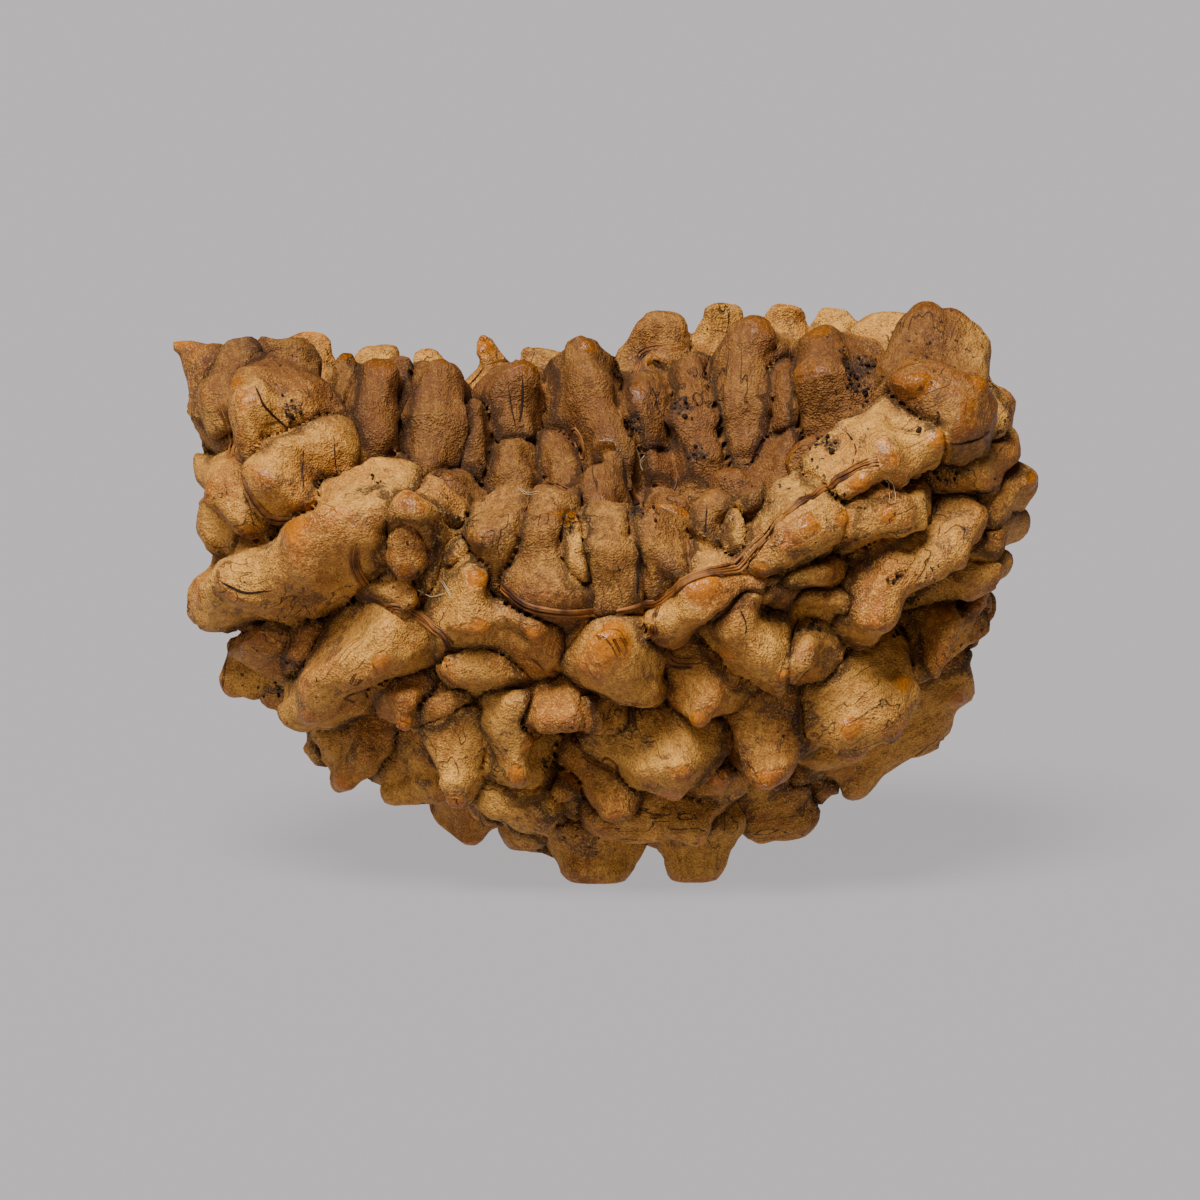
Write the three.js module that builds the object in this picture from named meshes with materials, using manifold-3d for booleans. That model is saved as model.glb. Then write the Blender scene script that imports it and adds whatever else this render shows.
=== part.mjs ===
// A half-moon rudraksha, the hard stone of one Elaeocarpus fruit, standing on its round side.
// Its upper front is scooped out, and knobs cover all of it, each a wedge that rises from a
// wide foot to a rounded crest. Millimetres. +Z is up, -Y faces the viewer, and the origin is
// on the ground under the middle of the stone.
import * as THREE from "three";
import { ConvexGeometry } from "three/addons/geometries/ConvexGeometry.js";
import { mergeVertices } from "three/addons/utils/BufferGeometryUtils.js";
import Module from "manifold-3d";

const wasm = await Module();
wasm.setup();

// The core, under the knobs: an egg-shaped disc, its flattened top and the scoop.
const CORE = { centre: [0.2, 0.5, 13.5], radii: [12.9, 7.6, 12.4] };
const SCOOP = { centre: [-0.5, -3.9, 21.0], radii: [12.9, 8.6, 9.5] };
const TOP_HEIGHT = 16.6; // of the plane that flattens the core's top, at the origin
const TOP_SLOPE = 0.045; // it climbs towards +X
const TOP_FALL = 0.32; // and falls towards the back
const EDGE_ROUNDING = 1.0; // where the top and the scoop meet the disc

// The knobs of the front are placed as they show from this many degrees above the horizon.
const VIEW_RISE = THREE.MathUtils.degToRad(10);

// A lobe is a row of round cones side by side, from its foot to its crest.
const FOOT_SINK = 0.35; // of a foot's radius, how far its centre lies under the core's surface
const FOOT_SPREAD = 1.65; // widens every foot until it meets its neighbours
const TIP_SPREAD = 1.15;
const FOOT_LENGTH = 0.7; // of the crest's length
const BULGE = 1.5; // above 1, the flanks swell
const CREST_REACH = 2.2; // how much nearer or farther than its foot a crest may lie

// The fill: knobs at an even spacing wherever no other knob stands. Their sizes are drawn
// between two limits, and under the stone they stay clear of the ground.
const FILL = {
  spacing: 2.7,
  tries: 1500,
  heart: [0.2, 2.6, 7.0],
  seed: 108,
  rise: [0.75, 1.5],
  halfCrest: [0.2, 0.7],
  footSize: [1.0, 1.2],
  tipSize: [0.38, 0.53],
  lean: [0, 0.45],
  groundGap: 0.65,
};

// Where the middle of the finished stone's box lies in the lists' coordinates.
const BOX_MIDDLE = { x: 0.17, y: 0.18 };

// The rings of one lobe: how far up each lies, and its sides.
const RINGS = [
  { up: 0, sides: 4 },
  { up: 0.5, sides: 5 },
  { up: 1, sides: 4 },
];
const CAP = 0.6; // of the crest's radius, how far its rounded end stands over the last ring

// A lobe as seen from the front: foot x and height, the crest's two ends, the rise of the
// crest above the core, the foot's radius and the crest's radius. A knob is a few lobes.
const FRONT_KNOBS = {
  topLeft: [
    [[-12.7, 16.4, -14.0, 16.95, -13.1, 16.9, 0.9, 0.75, 0.28]],
    [[-11.8, 16.9, -12.2, 17.4, -11.2, 17.6, 1.1, 0.8, 0.4]],
    [[-11.2, 15.0, -11.0, 16.2, -11.6, 14.2, 1.5, 0.95, 0.6]],
    [[-10.4, 16.7, -10.8, 17.3, -9.9, 17.3, 1.2, 0.9, 0.5]],
    [[-9.2, 16.4, -9.2, 17.1, -9.2, 16.2, 1.1, 0.4, 0.28]],
    [[-8.4, 15.8, -8.5, 16.9, -8.3, 15.4, 1.2, 0.65, 0.4]],
    [[-8.5, 14.4, -8.8, 15.1, -8.2, 14.0, 0.6, 0.6, 0.3]],
  ],
  leftSide: [
    [[-12.9, 15.3, -13.0, 15.6, -12.7, 15.0, 0.6, 0.65, 0.4]],
    [[-12.9, 14.2, -13.1, 14.1, -12.7, 14.4, 0.7, 0.6, 0.4]],
    [[-12.1, 12.6, -12.9, 13.3, -11.6, 12.0, 1.6, 0.95, 0.6]],
    [[-10.3, 12.8, -10.8, 13.4, -9.9, 13.9, 2.0, 0.85, 0.4]],
    [[-9.3, 13.2, -9.5, 14.2, -9.1, 13.9, 2.0, 0.6, 0.35]],
    [[-8.3, 13.1, -8.5, 14.0, -8.0, 13.0, 1.3, 0.6, 0.3]],
    [[-12.9, 11.7, -13.3, 12.3, -13.0, 11.1, 0.9, 0.8, 0.45]],
    [[-12.6, 10.5, -13.0, 10.6, -12.2, 10.6, 0.9, 0.8, 0.5]],
    [[-12.6, 9.2, -13.3, 9.5, -12.9, 8.5, 1.2, 1.0, 0.55]],
  ],
  leftFront: [
    [
      [-9.6, 10.2, -10.2, 10.9, -8.9, 10.6, 2.0, 1.5, 0.8],
      [-11.2, 9.8, -11.8, 9.6, -10.8, 10.5, 1.6, 1.1, 0.6],
      [-9.9, 9.1, -10.8, 8.9, -8.9, 8.9, 1.2, 0.8, 0.4],
    ],
    [[-7.9, 11.6, -8.5, 12.0, -7.2, 12.4, 2.0, 0.9, 0.4]],
    [[-5.8, 11.1, -6.3, 12.3, -5.5, 12.1, 2.0, 1.0, 0.5]],
    [[-7.4, 10.4, -7.5, 10.5, -7.2, 10.3, 0.5, 0.6, 0.3]],
    [[-6.3, 9.2, -6.4, 9.8, -6.3, 9.3, 1.5, 1.0, 0.3]],
    [
      [-11.2, 7.2, -11.9, 6.3, -11.4, 6.9, 1.2, 1.1, 0.6],
      [-10.8, 7.5, -11.0, 7.5, -10.5, 7.7, 1.0, 0.8, 0.5],
    ],
    [
      [-8.2, 7.2, -7.4, 7.1, -8.8, 6.1, 1.9, 1.1, 0.45],
      [-9.7, 6.0, -8.8, 6.1, -9.8, 5.1, 1.7, 1.0, 0.5],
      [-6.8, 7.7, -7.3, 7.15, -5.9, 6.9, 1.8, 1.2, 0.45],
    ],
    [[-9.5, 7.5, -9.3, 7.9, -9.7, 7.1, 0.7, 0.8, 0.4]],
    [[-6.5, 6.0, -6.4, 4.9, -6.3, 5.5, 1.6, 0.9, 0.35]],
    [[-5.1, 5.7, -5.7, 5.4, -4.6, 5.9, 0.8, 0.8, 0.4]],
    [[-8.0, 4.3, -8.6, 3.0, -8.0, 3.6, 1.5, 1.1, 0.5]],
    [[-9.4, 4.1, -9.5, 3.9, -9.2, 4.2, 0.7, 0.8, 0.5]],
    [[-6.2, 3.2, -6.8, 2.7, -5.7, 2.6, 0.9, 1.1, 0.6]],
  ],
  middle: [
    [
      [-4.2, 8.9, -4.0, 9.7, -4.1, 8.9, 1.8, 0.8, 0.4],
      [-4.1, 8.2, -3.9, 8.2, -4.2, 8.3, 1.9, 0.8, 0.45],
      [-2.2, 8.0, -3.0, 8.5, -2.2, 8.1, 1.7, 1.0, 0.45],
    ],
    [[-3.9, 6.9, -4.5, 6.7, -3.8, 6.9, 1.5, 0.8, 0.5]],
    [[0.4, 7.3, 0.2, 7.5, 0.6, 6.9, 2.2, 1.1, 0.95]],
    [[1.4, 6.1, 1.3, 5.8, 1.6, 5.8, 1.4, 0.7, 0.4]],
    [[3.2, 6.2, 3.1, 5.1, 3.3, 5.6, 1.8, 1.1, 0.4]],
    [
      [3.0, 8.7, 2.9, 8.8, 3.8, 9.5, 2.0, 0.9, 0.45],
      [5.0, 9.2, 4.2, 9.6, 5.5, 9.5, 1.6, 0.8, 0.4],
    ],
    [[4.4, 7.6, 5.0, 8.0, 5.6, 6.6, 2.0, 1.1, 0.4]],
    [[6.6, 7.2, 6.2, 6.5, 7.0, 7.0, 1.9, 0.9, 0.4]],
    [[5.2, 4.7, 5.2, 3.3, 5.7, 3.7, 1.8, 1.3, 0.5]],
    [
      [1.2, 4.0, 1.8, 2.8, 1.6, 3.2, 1.6, 0.9, 0.4],
      [2.6, 4.0, 2.3, 2.8, 2.4, 3.2, 1.6, 0.8, 0.4],
    ],
    [[3.8, 3.2, 3.9, 3.1, 3.7, 3.3, 0.9, 0.7, 0.3]],
    [[-4.3, 4.3, -4.6, 2.4, -4.5, 3.1, 1.7, 0.9, 0.4]],
    [
      [-3.1, 5.3, -2.9, 5.3, -3.0, 4.6, 1.4, 0.8, 0.5],
      [-2.7, 3.8, -2.6, 4.2, -2.45, 2.9, 2.0, 0.8, 0.45],
    ],
    [[-1.3, 5.7, -1.9, 4.7, -0.6, 4.9, 2.1, 1.0, 0.5]],
    [[0.2, 5.3, 0.0, 5.3, 0.1, 4.8, 1.5, 0.6, 0.35]],
    [[-2.7, 2.2, -2.6, 0.9, -2.3, 1.2, 1.3, 0.9, 0.4]],
    [[-1.4, 2.5, -1.6, 2.2, -1.2, 2.4, 0.9, 0.7, 0.35]],
    [[0.1, 3.1, 0.2, 2.0, 0.6, 2.0, 1.6, 0.9, 0.4]],
    [[-3.8, 1.9, -3.9, 1.5, -3.6, 1.5, 0.7, 0.8, 0.4]],
  ],
  rightFront: [
    [
      [8.4, 6.2, 8.0, 4.8, 10.0, 6.1, 2.1, 1.3, 0.45],
      [7.2, 5.8, 7.4, 5.1, 7.3, 5.6, 1.4, 0.9, 0.5],
    ],
    [[7.9, 4.3, 7.8, 4.1, 8.4, 4.1, 0.9, 0.7, 0.4]],
    [[5.9, 2.4, 5.3, 1.6, 6.5, 1.5, 0.8, 0.9, 0.45]],
    [[9.0, 3.9, 9.0, 3.0, 9.5, 3.4, 1.2, 1.1, 0.5]],
    [[7.3, 2.8, 7.0, 2.6, 7.9, 2.9, 0.7, 1.0, 0.5]],
    [[11.2, 5.7, 11.7, 5.9, 11.1, 4.9, 1.2, 1.2, 0.6]],
    [[11.0, 7.6, 11.8, 8.3, 11.2, 7.0, 1.8, 1.0, 0.4]],
    [[12.0, 8.9, 12.5, 8.9, 12.3, 8.6, 1.2, 0.7, 0.35]],
    [[12.7, 9.6, 13.0, 9.7, 12.9, 9.2, 0.8, 0.8, 0.4]],
    [[9.2, 9.1, 9.9, 9.1, 9.0, 8.1, 1.9, 1.0, 0.4]],
    [[10.1, 10.2, 9.3, 10.1, 11.2, 10.6, 1.7, 0.9, 0.5]],
    [[8.2, 8.0, 7.7, 7.9, 8.6, 8.1, 1.3, 0.7, 0.4]],
    [[7.2, 8.8, 6.8, 9.0, 8.1, 8.8, 1.2, 0.9, 0.4]],
    [[6.8, 10.0, 6.3, 10.0, 7.4, 9.9, 1.4, 0.8, 0.45]],
    [[8.3, 9.7, 8.2, 9.8, 8.4, 9.6, 0.4, 0.5, 0.3]],
    [[6.0, 10.9, 5.3, 10.6, 6.6, 11.3, 1.4, 0.7, 0.4]],
    [[7.4, 11.3, 7.1, 11.6, 7.7, 11.7, 1.6, 0.8, 0.5]],
    [[9.0, 11.4, 8.5, 11.6, 9.6, 11.8, 1.7, 0.8, 0.5]],
    [[10.4, 11.9, 10.2, 12.1, 10.7, 12.1, 1.4, 0.7, 0.45]],
    [
      [9.4, 13.1, 8.6, 12.9, 10.0, 13.6, 1.8, 0.8, 0.5],
      [10.4, 13.5, 10.0, 13.6, 10.8, 14.0, 1.9, 0.9, 0.55],
    ],
    [[12.0, 14.5, 11.1, 14.5, 13.1, 14.9, 1.5, 0.8, 0.45]],
    [[12.5, 13.4, 12.0, 13.3, 13.1, 13.8, 1.6, 0.9, 0.5]],
    [[11.9, 11.3, 12.3, 11.8, 11.7, 11.0, 1.7, 0.8, 0.4]],
    [[13.2, 12.5, 13.0, 12.4, 14.2, 12.7, 1.2, 0.7, 0.4]],
    [[13.1, 11.4, 13.0, 11.4, 13.9, 11.7, 1.0, 0.65, 0.4]],
    [[12.3, 10.1, 12.1, 10.3, 12.8, 10.5, 0.9, 0.8, 0.4]],
  ],
  rightTop: [
    [[7.0, 13.3, 6.7, 14.1, 7.6, 14.1, 1.9, 0.8, 0.5]],
    [[8.6, 13.8, 8.2, 14.3, 9.3, 14.7, 1.7, 0.8, 0.35]],
    [[10.5, 15.1, 10.2, 15.8, 10.9, 16.0, 1.6, 0.9, 0.5]],
    [[12.2, 15.5, 12.2, 15.9, 12.4, 15.9, 1.2, 0.6, 0.4]],
    [[13.2, 15.4, 13.0, 15.7, 13.5, 15.6, 1.1, 0.7, 0.45]],
  ],
  rimTeeth: [
    [[-1.5, 10.2, -1.5, 11.6, -1.7, 9.9, 1.7, 0.72, 0.5]],
    [[-0.8, 10.2, -0.8, 11.5, -0.8, 9.9, 1.7, 0.54, 0.39]],
    [[0.4, 10.1, 0.2, 11.2, 0.5, 9.7, 1.5, 0.78, 0.44]],
    [
      [1.9, 10.1, 1.8, 10.9, 1.9, 9.8, 1.4, 0.72, 0.39],
      [3.0, 10.3, 2.3, 10.9, 3.8, 10.5, 1.0, 0.66, 0.33],
    ],
    [[3.6, 11.0, 3.3, 12.3, 3.6, 10.9, 1.2, 0.5, 0.35]],
    [
      [4.6, 11.1, 4.3, 12.5, 4.6, 11.1, 1.3, 0.75, 0.4],
      [5.6, 11.4, 5.3, 12.4, 5.6, 11.4, 1.2, 0.65, 0.35],
    ],
    [[-3.4, 10.7, -3.2, 11.5, -3.5, 10.3, 1.6, 1.02, 0.5]],
    [[-4.6, 10.5, -4.7, 10.8, -4.5, 10.2, 0.8, 0.6, 0.33]],
  ],
  innerWall: [
    [
      [-7.1, 15.7, -7.5, 16.4, -6.7, 16.9, 1.3, 0.88, 0.42],
      [-7.1, 14.3, -7.1, 15.2, -7.1, 13.7, 1.2, 0.88, 0.48],
    ],
    [[-5.4, 14.8, -5.3, 16.4, -5.5, 13.9, 1.4, 0.94, 0.6]],
    [[-4.1, 14.3, -4.1, 15.3, -4.1, 13.5, 1.1, 0.62, 0.42]],
    [
      [-3.1, 15.5, -3.2, 16.3, -3.1, 14.9, 1.5, 0.69, 0.48],
      [-2.3, 15.5, -2.4, 16.3, -2.3, 15.0, 1.4, 0.62, 0.46],
    ],
    [[-2.9, 13.2, -2.8, 13.9, -2.9, 12.7, 1.0, 0.94, 0.48]],
    [[-1.3, 13.3, -1.4, 14.1, -1.2, 12.8, 1.0, 0.88, 0.42]],
    [
      [-0.3, 16.3, -0.4, 17.3, -0.2, 15.9, 1.7, 0.69, 0.54],
      [0.1, 14.6, -0.1, 15.6, 0.3, 13.9, 1.7, 0.81, 0.6],
      [0.7, 13.0, 0.5, 13.6, 0.8, 12.5, 1.4, 0.62, 0.42],
    ],
    [[0.0, 12.5, 0.25, 13.6, -0.05, 12.4, 2.3, 0.53, 0.48]],
    [[1.6, 15.6, 1.6, 16.9, 1.6, 14.7, 1.4, 0.81, 0.54]],
    [[3.3, 15.4, 3.05, 17.0, 3.6, 14.0, 1.5, 0.69, 0.48]],
    [
      [4.8, 16.4, 4.8, 17.7, 4.75, 15.5, 1.7, 1.0, 0.72],
      [4.7, 14.3, 4.7, 14.9, 4.7, 13.8, 1.0, 0.69, 0.42],
    ],
    [[6.0, 15.6, 6.1, 16.6, 5.9, 14.9, 1.1, 0.69, 0.42]],
    [[7.2, 16.4, 7.25, 17.8, 7.15, 15.6, 1.7, 1.0, 0.66]],
    [[8.5, 16.6, 8.4, 17.3, 8.5, 16.2, 0.6, 0.62, 0.36]],
    [[10.2, 16.7, 10.5, 17.4, 10.0, 16.0, 1.6, 1.25, 0.78]],
    [[12.4, 16.6, 12.2, 16.9, 12.9, 16.5, 0.9, 0.94, 0.6]],
    [[2.1, 13.5, 1.9, 13.7, 2.4, 13.5, 0.6, 0.75, 0.42]],
    [[2.3, 12.2, 2.1, 12.4, 2.6, 12.2, 0.5, 0.75, 0.42]],
    [[6.0, 13.8, 6.1, 14.3, 6.0, 13.5, 0.6, 0.62, 0.36]],
    [[-4.7, 12.3, -4.8, 12.9, -4.5, 12.1, 0.8, 0.81, 0.42]],
    [[-6.6, 13.1, -6.6, 13.4, -6.4, 12.9, 0.5, 0.75, 0.42]],
  ],
};

// The outer row of the back wall, whose crests show over the inner one: foot, crest ends
// (x, y, z each), the foot's radius and the crest's radius.
const BACK_ROW = [
  [-11.9, 2.6, 15.6, -12.4, 2.4, 16.7, -11.4, 2.7, 17.2, 1.0, 0.45],
  [-9.8, 4.4, 15.2, -10.0, 4.4, 17.2, -9.5, 4.5, 17.0, 1.0, 0.4],
  [-7.8, 4.9, 15.0, -8.0, 4.9, 16.6, -7.5, 5.0, 16.6, 1.0, 0.45],
  [-6.0, 5.2, 14.9, -6.2, 5.1, 16.4, -5.9, 5.1, 16.3, 0.9, 0.4],
  [-3.9, 5.4, 14.9, -3.9, 5.2, 16.9, -3.9, 5.4, 16.4, 0.9, 0.45],
  [-1.8, 5.4, 15.0, -2.4, 5.3, 16.3, -1.2, 5.3, 16.5, 1.0, 0.4],
  [0.2, 5.0, 15.1, 0.2, 4.9, 16.2, 0.2, 5.5, 15.9, 0.9, 0.4],
  [1.9, 5.2, 15.4, 1.3, 5.0, 17.5, 2.3, 5.0, 17.4, 1.0, 0.5],
  [4.0, 5.6, 15.6, 3.7, 5.4, 18.0, 4.2, 5.5, 18.2, 1.0, 0.5],
  [6.1, 5.5, 15.7, 5.8, 5.3, 17.8, 6.5, 5.3, 17.7, 1.0, 0.5],
  [8.0, 5.2, 15.8, 7.7, 5.1, 17.8, 8.1, 5.3, 17.7, 0.9, 0.4],
  [9.8, 4.6, 15.8, 9.1, 4.7, 17.3, 10.4, 4.4, 17.9, 1.0, 0.5],
  [11.7, 3.3, 15.7, 11.1, 3.6, 17.2, 12.3, 3.0, 16.9, 1.0, 0.45],
];

// The knobs that it stands on, about its weight, given in the same way.
const STANDING_KNOBS = [
  [-0.1, -1.6, 1.7, -0.7, -1.9, 0.05, 0.5, -1.9, 0.05, 0.9, 0.5],
  [3.2, -1.5, 1.8, 2.8, -1.8, 0.1, 3.4, -1.7, 0.1, 0.9, 0.45],
  [-2.2, 3.6, 1.9, -2.7, 3.8, 0.1, -1.9, 4.0, 0.1, 0.9, 0.45],
  [2.6, 3.6, 1.9, 2.2, 4.0, 0.1, 3.1, 3.8, 0.1, 0.9, 0.45],
];

const vector = (p) => new THREE.Vector3(...p);

// Distance to an ellipsoid, true at its surface and close to true near it.
function ellipsoidDistance(p, { centre, radii }) {
  const q = p.clone().sub(vector(centre));
  const scaled = q.clone().divide(vector(radii));
  const twice = scaled.clone().divide(vector(radii));
  const k = scaled.length();
  return (k * (k - 1)) / Math.max(twice.length(), 1e-9);
}

// The larger of two distances, rounded where they are about equal.
function smoothMax(a, b, radius) {
  const h = Math.max(radius - Math.abs(a - b), 0) / radius;
  return Math.max(a, b) + (h * h * radius) / 4;
}

// Distance to the core: the disc, cut by the sloping top and by the scoop.
function coreDistance(p) {
  const disc = ellipsoidDistance(p, CORE);
  const top = p.z - TOP_HEIGHT - TOP_SLOPE * p.x + TOP_FALL * p.y;
  const scoop = -ellipsoidDistance(p, SCOOP);
  return smoothMax(smoothMax(disc, top, EDGE_ROUNDING), scoop, EDGE_ROUNDING);
}

// The direction in which the core's distance grows fastest.
function coreNormal(p) {
  const step = 0.01;
  const slope = ["x", "y", "z"].map((axis) => {
    const ahead = p.clone();
    const behind = p.clone();
    ahead[axis] += step;
    behind[axis] -= step;
    return coreDistance(ahead) - coreDistance(behind);
  });
  return vector(slope).normalize();
}

const LOOKING = new THREE.Vector3(0, Math.cos(VIEW_RISE), -Math.sin(VIEW_RISE));
const SEEN_UP = new THREE.Vector3(0, Math.sin(VIEW_RISE), Math.cos(VIEW_RISE));

// The point this deep on the sight line that shows at (x, height).
function sightPoint(x, height, depth) {
  return new THREE.Vector3(x, 0, 0).addScaledVector(SEEN_UP, height).addScaledVector(LOOKING, depth);
}

// How deep the sight line at (x, height) meets the core, or passes nearest to it.
function depthOfCore(x, height) {
  const step = 0.1;
  const start = -16;
  const end = 16;
  let best = start;
  let least = Infinity;
  for (let depth = start; depth < end; depth += step) {
    const distance = coreDistance(sightPoint(x, height, depth));
    if (distance < least) {
      least = distance;
      best = depth;
    }
    if (distance <= 0) break;
  }
  return best;
}

// The point of the sight line at (x, height) that lies this far above the core, or nearly, and
// not much nearer to the eye or farther from it than the foot.
function crestPoint(x, height, rise, footDepth) {
  const step = 0.1;
  const pull = 0.25;
  let best = footDepth;
  let least = Infinity;
  for (let shift = -CREST_REACH; shift <= CREST_REACH; shift += step) {
    const distance = coreDistance(sightPoint(x, height, footDepth + shift));
    const fault = Math.abs(distance - rise) + pull * Math.abs(shift);
    if (fault < least) {
      least = fault;
      best = footDepth + shift;
    }
  }
  return sightPoint(x, height, best);
}

// One lobe, as the hull of a few rings from its foot to its crest. A ring is long along the
// crest and shrinks on the way up.
function lobe(foot, crestA, crestB, footSize, tipSize) {
  const footRadius = footSize * FOOT_SPREAD;
  const tipRadius = tipSize * TIP_SPREAD;
  const middle = crestA.clone().add(crestB).multiplyScalar(0.5);
  const axis = middle.clone().sub(foot);
  const height = axis.length();
  axis.normalize();
  const along = crestB.clone().sub(crestA);
  along.addScaledVector(axis, -along.dot(axis));
  if (along.length() < 0.05) along.set(1, 0.3, 0.2).cross(axis);
  const half = crestA.distanceTo(crestB) / 2;
  const length = along.normalize();
  const side = axis.clone().cross(length);
  const points = [];
  for (const { up, sides } of RINGS) {
    const radius = footRadius + (tipRadius - footRadius) * up ** BULGE;
    const stretch = half * (FOOT_LENGTH + (1 - FOOT_LENGTH) * up);
    for (let i = 0; i < sides; i += 1) {
      const angle = ((i + 0.5) / sides) * 2 * Math.PI;
      const reach = radius * Math.cos(angle) + stretch * Math.sign(Math.cos(angle));
      const point = foot.clone().addScaledVector(axis, up * height).addScaledVector(length, reach);
      points.push(point.addScaledVector(side, radius * Math.sin(angle)));
    }
  }
  points.push(foot.clone().addScaledVector(axis, -footRadius));
  points.push(crestA.clone().addScaledVector(axis, CAP * tipRadius));
  if (half > 0.6) points.push(crestB.clone().addScaledVector(axis, CAP * tipRadius));
  return { foot, solid: solidOf(new ConvexGeometry(points)) };
}

// A closed geometry as a solid that can be joined and cut.
function solidOf(geometry) {
  geometry.deleteAttribute("normal");
  geometry.deleteAttribute("uv");
  const merged = mergeVertices(geometry, 1e-4);
  const mesh = new wasm.Mesh({
    numProp: 3,
    vertProperties: merged.attributes.position.array,
    triVerts: new Uint32Array(merged.index.array),
  });
  return new wasm.Manifold(mesh);
}

// A lobe placed as it shows from the front.
function frontLobe([footX, footHeight, ax, aHeight, bx, bHeight, rise, footSize, tipSize]) {
  const depth = depthOfCore(footX, footHeight);
  const surface = sightPoint(footX, footHeight, depth);
  const normal = coreNormal(surface);
  surface.addScaledVector(normal, -coreDistance(surface));
  const foot = surface.addScaledVector(normal, -FOOT_SINK * footSize);
  const top = rise - tipSize / 2;
  const crestA = crestPoint(ax, aHeight, top, depth);
  const crestB = crestPoint(bx, bHeight, top, depth);
  return lobe(foot, crestA, crestB, footSize, tipSize);
}

// A lobe placed by its points in space.
function lobeInSpace([fx, fy, fz, ax, ay, az, bx, by, bz, footSize, tipSize]) {
  return lobe(vector([fx, fy, fz]), vector([ax, ay, az]), vector([bx, by, bz]), footSize, tipSize);
}

// The same draws every time, from 0 to 1.
function seededRandom(seed) {
  let state = seed;
  return () => {
    state = (state * 16807) % 2147483647;
    return state / 2147483647;
  };
}

// Where the line from the heart of the stone in this direction leaves the core.
function surfaceTowards(direction) {
  const step = 0.05;
  const p = vector(FILL.heart);
  while (coreDistance(p) < 0) p.addScaledVector(direction, step);
  return p;
}

// Knobs for every side that the lists leave bare. Directions are tried on an even spiral, and
// one is taken where no foot is nearer than the spacing.
function fillLobes(taken) {
  const random = seededRandom(FILL.seed);
  const between = ([low, high]) => low + (high - low) * random();
  const goldenAngle = Math.PI * (3 - Math.sqrt(5));
  const lobes = [];
  const feet = taken.map((one) => one.foot);
  for (let i = 0; i < FILL.tries; i += 1) {
    const up = 1 - (2 * (i + 0.5)) / FILL.tries;
    const flat = Math.sqrt(1 - up * up);
    const angle = goldenAngle * i;
    const surface = surfaceTowards(new THREE.Vector3(flat * Math.cos(angle), flat * Math.sin(angle), up));
    if (feet.some((foot) => foot.distanceTo(surface) < FILL.spacing)) continue;
    const normal = coreNormal(surface);
    const across = new THREE.Vector3(0.13, 0.31, 1).cross(normal).normalize();
    const along = across.clone().applyAxisAngle(normal, between([0, 2 * Math.PI]));
    const leaning = across.clone().applyAxisAngle(normal, between([0, 2 * Math.PI]));
    const room = (surface.z - FILL.groundGap) / Math.max(-normal.z, 0.1);
    const rise = Math.min(between(FILL.rise), room);
    const half = between(FILL.halfCrest);
    const footSize = between(FILL.footSize);
    const tipSize = between(FILL.tipSize);
    const foot = surface.clone().addScaledVector(normal, -FOOT_SINK * footSize);
    const crest = surface.clone().addScaledVector(normal, rise).addScaledVector(leaning, between(FILL.lean));
    const crestA = crest.clone().addScaledVector(along, half);
    const crestB = crest.clone().addScaledVector(along, -half);
    feet.push(surface);
    lobes.push(lobe(foot, crestA, crestB, footSize, tipSize));
  }
  return lobes;
}

// The core as a solid, from the same ellipsoids.
function coreSolid() {
  const ellipsoid = ({ centre, radii }, sides) => {
    const ball = new THREE.SphereGeometry(1, sides, sides / 2).scale(...radii).translate(...centre);
    return solidOf(ball);
  };
  const height = 20;
  const lid = new THREE.BoxGeometry(60, 60, height)
    .translate(0, 0, height / 2)
    .rotateY(-Math.atan(TOP_SLOPE))
    .rotateX(-Math.atan(TOP_FALL))
    .translate(0, 0, TOP_HEIGHT);
  return ellipsoid(CORE, 18).subtract(ellipsoid(SCOOP, 16)).subtract(solidOf(lid));
}

// Everything under the ground's plane, which leaves the flat spots that it stands on.
function ground() {
  const depth = 10;
  return solidOf(new THREE.BoxGeometry(60, 60, depth).translate(0, 0, -depth / 2));
}

// The stone alone, without a loose scrap or a hollow sealed between two knobs.
function largestPiece(solid) {
  const pieces = solid.decompose();
  return pieces.reduce((best, piece) => (piece.volume() > best.volume() ? piece : best));
}

function stoneGeometry() {
  const placed = [
    ...Object.values(FRONT_KNOBS).flat(2).map(frontLobe),
    ...BACK_ROW.map(lobeInSpace),
    ...STANDING_KNOBS.map(lobeInSpace),
  ];
  const lobes = [...placed, ...fillLobes(placed)];
  const joined = wasm.Manifold.union([coreSolid(), ...lobes.map((one) => one.solid)]);
  const stone = largestPiece(joined.subtract(ground())).getMesh();
  const geometry = new THREE.BufferGeometry();
  geometry.setAttribute("position", new THREE.BufferAttribute(stone.vertProperties, stone.numProp));
  geometry.setIndex(new THREE.BufferAttribute(stone.triVerts, 1));
  geometry.translate(-BOX_MIDDLE.x, -BOX_MIDDLE.y, 0);
  geometry.computeVertexNormals();
  console.log(`${lobes.length} lobes, ${placed.length} of them placed; ${stone.triVerts.length / 3} triangles`);
  return geometry;
}

const woody = new THREE.MeshStandardMaterial({ color: 0xa9742f, roughness: 0.62, metalness: 0 });
const stone = new THREE.Mesh(stoneGeometry(), woody);
stone.name = "rudraksha_stone";

const rudraksha = new THREE.Group();
rudraksha.add(stone);
export default rudraksha;
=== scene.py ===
# %% [markdown]
# A half-moon rudraksha: the hard stone of one fruit, cleaned of its flesh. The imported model
# gives its frame and its faceted solid. This script grows a finer stone in the same place, from
# the same knobs, and gives it a woody finish, seam fibres, hairs and dirt.

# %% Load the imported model
import math

import bpy
import numpy as np
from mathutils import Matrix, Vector
from mathutils.bvhtree import BVHTree
from mathutils.kdtree import KDTree


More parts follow.
